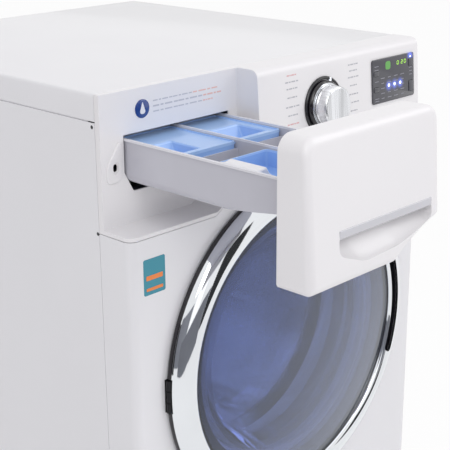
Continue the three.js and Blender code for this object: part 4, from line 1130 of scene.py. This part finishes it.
@dataclass
class Knob(Assembly):
    """The programme knob: black bezel, chrome skirt and spun silver cap."""

    title = "knob"
    face: Plane = field(default_factory=console_plane)
    u: float = 0.082
    drop: float = 0.077
    bezel_radius: float = 0.047
    skirt_radius: float = 0.0405
    cap_radius: float = 0.0345
    height: float = 0.030
    segments: int = 96

    def turned(self, name: str, profile: Sequence[Point]) -> Piece:
        """Turns a profile about the knob's axis.

        Args:
            name: The piece's name.
            profile: Radius and height above the face.

        Returns:
            The piece.
        """
        base = self.face.at(self.u, -self.drop / math.cos(self.lean()))
        out = self.face.right.cross(self.face.up)
        loops = []
        for k in range(self.segments):
            angle = math.tau * k / self.segments
            across = self.face.right * math.cos(angle) + self.face.up * math.sin(angle)
            loops.append([base + across * r + out * h for r, h in profile])
        return Piece(name).loft(loops, closed=True)

    def lean(self) -> float:
        """Returns the face's lean, in radians."""
        return math.atan2(abs(self.face.up.y), self.face.up.z)

    def build(self) -> None:
        """Makes and dresses its pieces."""
        b, s, c, h = self.bezel_radius, self.skirt_radius, self.cap_radius, self.height
        bezel = [
            (s + 0.0012, 0.0004), (b, 0.0004), (b, 0.0016), (b - 0.0008, 0.0028),
            (b - 0.0022, 0.0038), (b - 0.0038, 0.0036), (s + 0.0012, 0.0028),
        ]
        bezel_look = self.turned("knob_bezel_look", bezel)
        self.add(bezel_look, Look.BLACK_GLOSS, "cabinet", "black_gloss", "knob_bezel", edge=0.0003)
        skirt = [
            (0.0, 0.001), (s, 0.001), (s, 0.0052), (s - 0.0007, 0.0066),
            (s - 0.0018, 0.0078), (s - 0.0032, 0.0086), (s - 0.0036, 0.009), (0.0, 0.009),
        ]
        skirt_look = self.turned("knob_skirt_look", skirt)
        self.add(skirt_look, Look.SKIRT, "knob", "bright_chrome", "knob_skirt", edge=0.0003)
        cap = [
            (0.0, 0.0094), (c - 0.0004, 0.0094), (c, 0.0104), (c - 0.0002, 0.0145),
            (c - 0.0015, 0.0158), (c - 0.0018, h - 0.002), (c - 0.0024, h),
            (c - 0.0042, h + 0.0018), (c - 0.0066, h + 0.0022), (c - 0.0105, h + 0.0014),
            (0.0, h + 0.0006),
        ]
        cap_look = self.turned("knob_cap_look", cap)
        self.add(cap_look, Look.SPUN, "knob", "satin_silver", "knob_cap")
        place = lambda x, y, w: self.face.at(self.u + x, y - self.drop, w)
        bar = rectangle((0.0144, 0.0362), (0.0168, 0.0432), 0.0006, 3)
        tick = Piece("knob_lamp").extrude(bar, place, 0.002, 0.0042)
        self.add(tick, Look.WHITE_LIT, "cabinet", "display_grey")


@dataclass
class Display(Assembly):
    """The dark display with its keys, lamps and plain marks."""

    title = "display"
    face: Plane = field(default_factory=console_plane)
    left: float = 0.209
    right: float = 0.328
    top: float = 0.023
    proud: float = 0.0024
    digit: Point = (0.0046, 0.0058)

    def at(self, u: float, v: float, w: float) -> Vector:
        """Returns the point right, down and out from the middle of the console's top edge."""
        return self.face.at(u, -v, w)

    def flat(self, piece: Piece, outline: Sequence[Point], rise: float) -> None:
        """Adds a flat form that stands a little off the film."""
        piece.extrude(outline, self.at, self.proud - 0.0003, self.proud + rise)

    def bar(self, piece: Piece, u: float, v: float, width: float, height: float) -> None:
        """Adds a flat bar on the film.

        Args:
            piece: The piece that takes it.
            u: Its middle, to the right of the console's centre.
            v: Its middle, below the console's top.
            width: Its width.
            height: Its height.
        """
        a, b = width / 2, height / 2
        self.flat(piece, rectangle((u - a, v - b), (u + a, v + b), min(a, b) * 0.6, 3), 0.0001)

    def disc(self, piece: Piece, u: float, v: float, radius: float) -> None:
        """Adds a round lamp on the film.

        Args:
            piece: The piece that takes it.
            u: Its middle, to the right of the console's centre.
            v: Its middle, below the console's top.
            radius: Its radius.
        """
        turns = [math.tau * k / 16 for k in range(16)]
        outline = [(u + radius * math.cos(a), v + radius * math.sin(a)) for a in turns]
        self.flat(piece, outline, 0.0002)

    def build(self) -> None:
        """Makes and dresses its pieces."""
        self.soften("cabinet", Look.FILM, "display_grey", 0.0006, "display_panel")
        for key in ("option_key_1", "option_key_2", "power_key", "start_key"):
            self.soften(key, Look.KEY, "display_grey", 0.0005, key)
        self.marks()
        self.lamps()

    def marks(self) -> None:
        """Adds rows of small grey marks in the place of words."""
        rows = Piece("display_marks")
        for row in range(5):
            v = self.top + 0.0335 + 0.0085 * row
            for column in range(4):
                u = self.left + 0.0285 + 0.0185 * column
                self.bar(rows, u, v, 0.011 - 0.003 * ((row + column) % 3 == 1), 0.0013)
        for drop in (0.012, 0.018, 0.0375, 0.0665, 0.0705):
            self.bar(rows, self.left + 0.012, self.top + drop, 0.011, 0.0012)
        for drop in (0.0255, 0.0315, 0.0375):
            self.bar(rows, self.right - 0.0105, self.top + drop, 0.008, 0.0012)
        self.add(rows, Look.PRINT_DIM, "cabinet", "display_grey")

    def lamps(self) -> None:
        """Adds the lit digits, the lit block, the three lamps and the power lamp."""
        block = Piece("display_block")
        self.bar(block, self.left + 0.044, self.top + 0.0135, 0.014, 0.014)
        self.add(block, Look.GREEN_DIM, "cabinet", "display_grey")
        digits = Piece("display_digits")
        half_w, half_h = self.digit[0] / 2, self.digit[1] / 2
        level = {"a": (0, -1), "d": (0, 1), "g": (0, 0)}
        upright = {"b": (1, -0.5), "c": (1, 0.5), "e": (-1, 0.5), "f": (-1, -0.5)}
        for index, lit in enumerate(("abcdef", "abged", "abcdef")):
            middle = self.left + 0.072 + 0.0088 * index + (0.003 if index else 0)
            for name in lit:
                x, y = (level | upright)[name]
                size = (half_w * 1.5, 0.0009) if name in level else (0.0009, half_h * 0.82)
                self.bar(digits, middle + x * half_w, self.top + 0.0125 + y * half_h, *size)
        self.add(digits, Look.GREEN_LIT, "cabinet", "display_grey")
        dots = Piece("display_dots")
        for k in range(3):
            self.disc(dots, self.left + 0.0455 + 0.0162 * k, self.top + 0.0475, 0.0027)
        self.disc(dots, self.right - 0.0107, self.top + 0.0065, 0.0016)
        self.add(dots, Look.WHITE_LIT, "cabinet", "display_grey")


# ---------------------------------------------------------------- dispenser drawer
@dataclass
class Drawer(Assembly):
    """The drawer drawn out: leaning front with its grip, tray, cups and gate."""

    title = "drawer"
    left: float = -0.343
    right: float = -0.0715
    low: float = 0.790
    depth: float = FACE_FOOT_DEPTH
    out: float = 0.3254
    relief: float = 0.3126
    edge: float = 0.012
    grip_drop: float = 0.122
    grip_corner: float = 0.0145

    def lean(self, x: float, z: float, y: float) -> Vector:
        """Returns the point at a depth, which leans with the face where it is negative."""
        share = face_depth(z) / self.depth if y < 0 else 1.0
        return Vector((x, DATUM.wall_y - self.out + y * share, z))

    def outline(self, shrink: float = 0.0) -> list[Point]:
        """The front's outline, cut round the door.

        Args:
            shrink: How far inside the front it lies.

        Returns:
            The outline.
        """
        cx, cz = DATUM.door
        radius = self.relief + shrink
        left, right = self.left + shrink, self.right - shrink
        low, top = self.low + shrink, DATUM.top - shrink
        start = math.atan2(low - cz, -math.sqrt(radius**2 - (low - cz) ** 2))
        end = math.acos((right - cx) / radius)
        steps = 8
        turns = [start + (end - start) * k / steps for k in range(steps + 1)]
        arc = [(cx + radius * math.cos(a), cz + radius * math.sin(a)) for a in turns]
        foot, at_door, side, head = (max(r - shrink, 0.002) for r in (0.007, 0.014, 0.01, 0.022))
        corners = [(left, low, foot), (*arc[0], at_door), *arc[1:-1], (*arc[-1], side)]
        return filleted([*corners, (right, top, head), (left, top, head)])

    def grip(self, grow: float = 0.0) -> list[Point]:
        """The grip hollow's outline.

        Args:
            grow: How far outside the hollow it lies.

        Returns:
            The outline.
        """
        left, right, corner = -0.287 - grow, -0.0925 + grow, self.grip_corner
        low, top = DATUM.top - 0.172 - grow, DATUM.top - self.grip_drop + grow
        foot = [(left + 0.05, low, 0.05), (right - 0.075, low + 0.003, 0.06)]
        sides = [(right, low + 0.02, corner), (right, top, corner), (left, top, corner)]
        return filleted([(left, low + 0.018, corner), *foot, *sides])

    def build(self) -> None:
        """Makes and dresses its pieces."""
        front = Piece("drawer_front_look")
        front.cushion(self.outline, self.lean, 0.0, -self.depth, self.edge, 8)
        core = Piece("core").extrude(self.outline(0.008), self.lean, 0.003, -self.depth + 0.006)
        core.cut(Piece("shell").extrude(self.grip(0.003), self.lean, -0.0205, -0.07))
        front.cut(core)
        loops = [[self.scoop(x, z, k / 8) for x, z in self.grip()] for k in range(-3, 9)]
        front.cut(Piece("scoop").loft(loops))
        self.add(front, Look.MOULDED, "drawer", "white_moulding", "drawer_front", edge=0.0016)
        self.lip()
        self.bosses()
        self.soften("drawer", Look.TRAY, "tray_grey", 0.0008, "drawer_body")
        cups = ("softener_cup", "bleach_cup", "liquid_cup")
        self.soften("drawer", Look.INSERT, "insert_blue", 0.0006, *cups)
        self.saddle()
        self.wells()

    def wells(self) -> None:
        """Adds the sloping funnels under the mouths of the rear cups' lids."""
        top, floor = 0.9075, 0.876
        y0, y1 = DATUM.wall_y - 0.0982, DATUM.wall_y - 0.0382
        for cup, x0, x1 in (("softener", -0.2858, -0.2456), ("bleach", -0.177, -0.1082)):
            loops = []
            for inward, at_top in ((0.0, False), (-0.0008, True), (0.0008, True), (0.0016, False)):
                slope = 0.0 if at_top else 1.0
                a, b = x0 + 0.004 * slope + inward, x1 - 0.007 * slope - inward
                c, d = y0 + 0.003 * slope + inward, y1 - 0.024 * slope - inward
                z = top if at_top else floor + max(inward, 0.0)
                loops.append([upward(x, y, z) for x, y in rectangle((a, c), (b, d), 0.003, 4)])
            well = Piece(f"{cup}_funnel").loft(loops)
            self.add(well, Look.INSERT, "drawer", "insert_blue", edge=0.0004)

    def scoop(self, x: float, z: float, share: float) -> Vector:
        """Bends the grip's outline into a hollow whose floor slopes up to the face.

        Args:
            x: The outline's x.
            z: The outline's z.
            share: How deep it lies, from 0 at the face to 1 at the back.

        Returns:
            The point.
        """
        top, depth = DATUM.top - self.grip_drop, 0.0315
        lift = max(share, 0.0) ** 1.6 * 0.72
        return self.lean(x, top - (top - z) * (1 - lift), -self.depth + depth * share)

    def lip(self) -> None:
        """Adds the smooth bar that the fingers pull, under the grip's top edge."""
        top = DATUM.top - 0.1215
        y = -face_depth(top) - 0.0012
        foot = [(y, top - 0.0135, 0.003), (y + 0.0075, top - 0.0105, 0.003)]
        section = filleted([*foot, (y + 0.009, top, 0.001), (y, top, 0.0012)], 5)
        place = lambda a, z, x: Vector((x, DATUM.wall_y - self.out + a, z))
        bar = Piece("drawer_lip").extrude(section, place, -0.2862, -0.0932)
        self.add(bar, Look.GLOSS_BAR, "drawer", "white_moulding", edge=0.0008)

    def bosses(self) -> None:
        """Adds the three bosses behind the front that carry the tray."""
        piece = Piece("drawer_bosses")
        for x in (-0.270, -0.187, -0.108):
            square = rectangle((x - 0.005, 0.880), (x + 0.005, 0.904))
            piece.extrude(square, self.lean, -self.depth + 0.008, -0.0016)
        self.add(piece, Look.MOULDED, "drawer", "white_moulding", edge=0.0006)

    def saddle(self) -> None:
        """Adds the cushion-like gate: a swept saddle with a high left and a stepped right."""
        low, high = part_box("liquid_gate")
        corners = (
            (0.0, 0.0, 0.002), (0.042, 0.0, 0.002), (0.042, 0.011, 0.004), (0.0345, 0.0165, 0.007),
            (0.0285, 0.0262, 0.006), (0.014, 0.0235, 0.02), (0.0, 0.027, 0.004),
        )
        outline = filleted([(low.x + x, low.z + z, r) for x, z, r in corners], 6)
        piece = Piece("liquid_gate_look").cushion(outline, forward, high.y, low.y, 0.0035, 6)
        self.add(piece, Look.SADDLE, "drawer", "white_moulding", "liquid_gate", edge=0.001)


# ---------------------------------------------------------------- door
@dataclass
class Door(Assembly):
    """The round door: chrome ring, smoked window, frame, bowl, grip and hinge."""

    title = "door"
    segments: int = 160
    grip_half: float = math.radians(22)
    grip_inner: float = 0.244
    grip_outer: float = 0.259
    notch: float = 0.028

    def build(self) -> None:
        """Makes and dresses its pieces."""
        self.ring()
        self.window()
        self.bowl()
        self.soften("door", Look.BLACK_GLOSS, "black_plastic", 0.0005, "door_grip_pocket")
        self.soften("door", Look.BLACK, "black_plastic", 0.0006, "door_frame")
        self.soften("door", Look.HINGE, "cast_alloy", 0.0005, "door_hinge_leaf")
        self.soften("cabinet", Look.HINGE, "cast_alloy", 0.0005, "door_hinge_bracket")
        self.dress(Look.PLATED, "door_hook")
        self.dress(Look.BLACK, "door_lock")

    def sector(self, front: float, rear: float) -> Piece:
        """The finger slot's form, with rounded ends.

        Args:
            front: Its front y.
            rear: Its rear y.

        Returns:
            The form.
        """
        cx, cz = DATUM.door
        inner, outer = self.grip_inner, self.grip_outer
        half, middle = (outer - inner) / 2, (outer + inner) / 2
        reach = self.grip_half - half / middle
        points = []
        for sign, radius in ((1, outer), (-1, inner)):
            for k in range(25):
                a = sign * (reach * 2 * k / 24 - reach)
                points.append((cx + radius * math.cos(a), cz + radius * math.sin(a)))
            end = sign * reach
            x, z = cx + middle * math.cos(end), cz + middle * math.sin(end)
            for k in range(1, 8):
                turn = end + math.pi * k / 8 + (0.0 if sign > 0 else math.pi)
                points.append((x + half * math.cos(turn), z + half * math.sin(turn)))
        return Piece("slot").extrude(points, forward, front, rear)

    def ring(self) -> None:
        """Turns the chrome ring: outer bead, hollow band, crest and inner lip."""
        r, w = DATUM.ring_radius, DATUM.window_radius
        rear, crest = DATUM.ring_rear, DATUM.ring_front
        profile = [
            (r - 0.0006, rear), (r, rear - 0.0012), (r, rear - 0.0052), (r - 0.0012, rear - 0.0084),
            (r - 0.0034, rear - 0.0128), (r - 0.0066, rear - 0.0168), (r - 0.0108, rear - 0.0202),
            (r - 0.0155, rear - 0.0226), (r - 0.0205, rear - 0.0245), (r - 0.0255, rear - 0.0261),
            (r - 0.030, crest), (w + 0.0105, crest + 0.0004), (w + 0.0068, crest + 0.0018),
            (w + 0.004, crest + 0.0034), (w + 0.0018, crest + 0.0056), (w + 0.0007, crest + 0.008),
            (w + 0.0006, crest + 0.010), (w + 0.0034, crest + 0.010), (w + 0.009, crest + 0.0056),
            (r - 0.031, crest + 0.003), (r - 0.020, rear - 0.0222), (r - 0.012, rear - 0.0184),
            (r - 0.0056, rear - 0.0122), (r - 0.003, rear - 0.0044), (r - 0.003, rear),
        ]
        (cx, cz), half = DATUM.door, self.notch
        piece = Piece("door_ring_look").revolve(profile, DATUM.door, self.segments)
        notch = rectangle((cx - r - 0.005, cz - half), (cx - r + 0.009, cz + half))
        hinge_gap = Piece("notch").extrude(notch, forward, rear - 0.0095, rear + 0.005)
        piece.cut(hinge_gap, self.sector(crest - 0.02, rear - 0.008))
        self.add(piece, Look.RING, "door", "bright_chrome", "door_ring", edge=0.0007)

    def window(self) -> None:
        """Turns the crowned window."""
        edge, crown, thickness, steps = DATUM.window_radius, 0.014, 0.003, 16
        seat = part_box("door_window")[0].y + crown
        radii = [edge * math.sin(math.pi / 2 * k / steps) for k in range(steps + 1)]
        front = [(r, seat - crown * (1 - (r / edge) ** 2)) for r in radii]
        profile = front + [(r, y + thickness) for r, y in reversed(front)]
        piece = Piece("door_window_look").revolve(profile, DATUM.door, self.segments)
        self.add(piece, Look.WINDOW, "door", "tinted_window", "door_window")

    def bowl(self) -> None:
        """Turns the deep glass bowl."""
        y, rim, g = DATUM.ring_rear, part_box("glass_bowl")[1].x, 0.005
        m, depth, floor = 0.202, 0.136, 0.096
        outer = [
            (m - 0.004, y + 0.005), (m - 0.009, y + 0.016), (m - 0.014, y + 0.03),
            (m - 0.022, y + 0.058), (m - 0.032, y + 0.086), (m - 0.045, y + 0.108),
            (m - 0.06, y + depth - 0.014), (m - 0.082, y + depth - 0.007),
            (floor, y + depth - 0.003), (0.0, y + depth),
        ]
        inner = [
            (0.0, y + depth - g), (floor - 0.003, y + depth - 0.003 - g),
            (m - 0.064, y + depth - 0.014 - g), (m - 0.037, y + 0.084), (m - 0.019, y + 0.028),
            (m - 0.011, y - 0.001),
        ]
        profile = [(rim, y - 0.001), (rim, y + 0.005), *outer, *inner]
        piece = Piece("glass_bowl_look").revolve(profile, DATUM.door, 96)
        self.add(piece, Look.BOWL, "door", "clear_glass", "glass_bowl")


# ---------------------------------------------------------------- drum, tub and drive
@dataclass
class Wash(Assembly):
    """What shows through the window and from under the rear cover."""

    title = "wash group"
    segments: int = 120

    def build(self) -> None:
        """Makes and dresses its pieces."""
        self.drum()
        self.gasket()
        self.soften("drum", Look.DRUM, "drum_steel", 0.0015, "lifter_1", "lifter_2", "lifter_3")
        self.dress(Look.CAST, "drum_spider")
        self.dress(Look.TUB, "tub_front", "tub_rear")
        self.dress(Look.PLATED, "front_bearing", "left_tub_spring", "right_tub_spring")
        self.dress(Look.BLACK, "motor_rotor", "left_damper", "right_damper")
        self.dress(Look.COPPER, "motor_stator")
        self.dress(Look.CONCRETE, "counterweight")

    def drum(self) -> None:
        """Turns the drum with a rolled mouth and a dished back."""
        low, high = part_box("drum")
        r, front, rear, m, s = high.x, low.y, high.y, 0.190, 0.0016
        outer = [
            (m, front + 0.01), (m - 0.002, front + 0.004), (m, front + 0.001), (m + 0.004, front),
            (r - 0.026, front + 0.006), (r - 0.012, front + 0.012), (r - 0.004, front + 0.018),
            (r, front + 0.026), (r, rear - 0.012), (r - 0.004, rear - 0.003), (r - 0.012, rear),
            (0.120, rear), (0.096, rear - 0.014), (0.0, rear - 0.014),
        ]
        inner = [
            (0.0, rear - 0.014 - s), (0.095, rear - 0.014 - s), (0.119, rear - s),
            (r - 0.013, rear - s), (r - 0.005, rear - 0.0045), (r - s, rear - 0.013),
            (r - s, front + 0.027), (r - 0.006, front + 0.020), (r - 0.014, front + 0.0135),
            (r - 0.027, front + 0.006 + s), (m + 0.004, front + s), (m + s, front + 0.01),
        ]
        piece = Piece("drum_look").revolve(outer + inner, DATUM.door, self.segments)
        self.add(piece, Look.DRUM, "drum", "drum_steel", "drum")

    def gasket(self) -> None:
        """Turns the rubber bellows."""
        low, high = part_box("gasket")
        m, lip = 0.202, low.y + 0.008
        outer = [
            (m - 0.0012, lip - 0.008), (m - 0.0012, lip + 0.004), (m + 0.006, lip + 0.0085),
            (m + 0.011, lip + 0.013), (m + 0.012, lip + 0.019), (m + 0.011, lip + 0.025),
            (m + 0.006, lip + 0.031), (m + 0.002, lip + 0.036), (m + 0.010, high.y),
        ]
        inner = [
            (m + 0.003, high.y), (m - 0.005, lip + 0.036), (m, lip + 0.028),
            (m + 0.005, lip + 0.020), (m, lip + 0.012), (m - 0.006, lip + 0.006),
            (m - 0.011, lip + 0.001), (m - 0.013, lip - 0.002), (m - 0.012, lip - 0.006),
            (m - 0.009, lip - 0.008),
        ]
        piece = Piece("gasket_look").revolve(outer + inner, DATUM.door, self.segments)
        self.add(piece, Look.RUBBER, "cabinet", "grey_rubber", "gasket")


# ---------------------------------------------------------------- studio
@dataclass
class Studio:
    """The camera, the lamps, the pale floor and the cards that the chrome reflects."""

    place: Vector = field(default_factory=lambda: Vector((-1.31065, -1.35393, 1.30704)))
    yaw: float = math.radians(-45.7625)
    pitch: float = math.radians(-18.6099)
    roll: float = math.radians(-0.4573)
    lens: float = 90.94
    floor_size: float = 9.0
    soft_light: float = 0.66

    def build(self) -> None:
        """Makes everything in the studio."""
        self.camera()
        self.world()
        self.floor()
        self.lamp("key", (2.6, -2.4, 2.9), (0.1, -0.2, 0.6), 2.2, 28)
        self.lamp("top", (-0.3, -0.1, 3.4), (0.0, 0.0, 0.9), 2.4, 6)
        self.lamp("front", (-1.3, -3.3, 1.5), (-0.2, -0.2, 0.7), 1.4, 2)
        self.lamp("left", (-1.5, -2.4, 2.9), (-0.25, -0.2, 0.85), 1.8, 24)
        self.glow_lamp("drum_lamp_left", (-0.12, 0.05, 0.66), 2.2)
        self.glow_lamp("drum_lamp_right", (0.13, 0.05, 0.62), 2.2)
        self.card("dark_card_front", (0.7, -2.9, 0.75), (0.8, 1.5), 0.02)
        self.card("grey_card_left", (-2.9, -1.9, 0.7), (2.6, 2.2), 0.3)
        self.card("grey_card_low", (-0.9, -1.9, 0.15), (2.4, 1.1), 0.25)
        self.card("dark_card_left", (-2.6, -0.2, 0.5), (0.9, 1.6), 0.03)

    def camera(self) -> None:
        """Stands the camera at its place with its three turns."""
        y, p, r = self.yaw, self.pitch, self.roll
        ahead = Vector((-math.sin(y) * math.cos(p), math.cos(y) * math.cos(p), math.sin(p)))
        right = Vector((math.cos(y), math.sin(y), 0.0))
        up = right.cross(ahead)
        right, up = right * math.cos(r) + up * math.sin(r), up * math.cos(r) - right * math.sin(r)
        data = bpy.data.cameras.new("camera")
        data.sensor_width, data.lens, data.clip_start = 36.0, self.lens, 0.01
        camera = bpy.data.objects.new("camera", data)
        camera.matrix_world = Matrix((right, up, -ahead)).transposed().to_4x4()
        camera.location = self.place
        bpy.context.scene.collection.objects.link(camera)
        bpy.context.scene.camera = camera

    def world(self) -> None:
        """Lights the room plainly, with a white background for sight, gloss and glass."""
        world = bpy.data.worlds.new("room")
        world.use_nodes = True
        bpy.context.scene.world = world
        tree = world.node_tree
        tree.nodes.clear()
        path = tree.nodes.new("ShaderNodeLightPath")
        seen = path.outputs["Is Camera Ray"]
        for name in ("Is Glossy Ray", "Is Transmission Ray"):
            join = tree.nodes.new("ShaderNodeMath")
            join.operation = "MAXIMUM"
            tree.links.new(seen, join.inputs[0])
            tree.links.new(path.outputs[name], join.inputs[1])
            seen = join.outputs[0]
        soft, white = (tree.nodes.new("ShaderNodeBackground") for _ in range(2))
        soft.inputs["Color"].default_value = (0.985, 0.97, 1.0, 1.0)
        soft.inputs["Strength"].default_value = self.soft_light
        white.inputs["Strength"].default_value = 1.0
        white.inputs["Color"].default_value = (1.0, 1.0, 1.0, 1.0)
        mix = tree.nodes.new("ShaderNodeMixShader")
        tree.links.new(seen, mix.inputs[0])
        tree.links.new(soft.outputs[0], mix.inputs[1])
        tree.links.new(white.outputs[0], mix.inputs[2])
        out = tree.nodes.new("ShaderNodeOutputWorld")
        tree.links.new(mix.outputs[0], out.inputs[0])

    def floor(self) -> None:
        """Lays a wide pale floor just under the feet."""
        size = self.floor_size
        outline = rectangle((-size, -size), (size, size), 2.0, 12)
        obj = Piece("floor").extrude(outline, upward, -0.02, -0.0005).placed()
        obj.data.materials.append(self.floor_paint())

    def floor_paint(self) -> bpy.types.Material:
        """Returns:
            A pale paint that reads as a white background and keeps a soft shadow.
        """
        graph = Graph("pale floor")
        tint = Finish("floor", (0.9, 0.9, 0.9)).tint(graph)
        paint = graph.principled(Base_Color=tint, Roughness=0.8)
        white = graph.node("ShaderNodeEmission", None, {"Color": (1.0, 1.0, 1.0), "Strength": 1.0})
        rays = ("Is Camera Ray", "Is Glossy Ray", "Is Transmission Ray")
        seen, gloss, through = (graph.node("ShaderNodeLightPath", out=ray) for ray in rays)
        share = graph.math("MAXIMUM", graph.math("MAXIMUM", seen, gloss), through) * 0.94
        return graph.close(graph.blend(share, paint, white))

    def hang(self, name: str, data: bpy.types.Light, spot: tuple) -> bpy.types.Object:
        """Puts a lamp into the scene.

        Args:
            name: Its name.
            data: The lamp.
            spot: Where it stands.

        Returns:
            The object.
        """
        lamp = bpy.data.objects.new(name, data)
        lamp.location = spot
        bpy.context.scene.collection.objects.link(lamp)
        return lamp

    def lamp(self, name: str, spot: tuple, aim: tuple, size: float, power: float) -> None:
        """Adds a soft square white lamp.

        Args:
            name: Its name.
            spot: Where it stands.
            aim: What it points at.
            size: Its side.
            power: Its watts.
        """
        data = bpy.data.lights.new(name, "AREA")
        data.size, data.energy = size, power
        turn = (Vector(aim) - Vector(spot)).to_track_quat("-Z", "Y")
        self.hang(name, data, spot).rotation_euler = turn.to_euler()

    def glow_lamp(self, name: str, spot: tuple, power: float) -> None:
        """Adds a small blue lamp of the given watts inside the drum."""
        data = bpy.data.lights.new(name, "POINT")
        data.shadow_soft_size, data.energy, data.color = 0.006, power, (0.6, 0.7, 1.0)
        self.hang(name, data, spot)

    def card(self, name: str, spot: tuple, size: Point, shade: float) -> None:
        """Adds a card that only reflections see, facing the machine.

        Args:
            name: Its name.
            spot: Its middle.
            size: Its width and height.
            shade: Its grey.
        """
        a, b = size[0] / 2, size[1] / 2
        outline = rectangle((-a, -b), (a, b), 0.05, 4)
        turn = (Vector((0, 0, spot[2])) - Vector(spot)).to_track_quat("Z", "Y")
        place = lambda x, y, h: Vector(spot) + turn @ Vector((x, y, h))
        obj = Piece(name).extrude(outline, place, 0.0, 0.01).placed()
        obj.data.materials.append(Finish(name, (shade * 0.96, shade, shade * 1.1), 0.8).make())
        obj.visible_camera = obj.visible_diffuse = obj.visible_shadow = False


def main() -> None:
    """Builds the washer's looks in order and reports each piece."""
    logging.basicConfig(level=logging.INFO, format="%(message)s")
    bpy.context.scene.view_settings.view_transform = "Standard"
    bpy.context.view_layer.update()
    total = 0
    for assembly in (Cabinet(), Plate(), Console(), Knob(), Display(), Drawer(), Door(), Wash()):
        assembly.build()
        total += assembly.made
        LOG.info("%s: %d pieces", assembly.title, assembly.made)
    Studio().build()
    LOG.info("%d pieces in all", total)


if __name__ == "__main__":
    main()
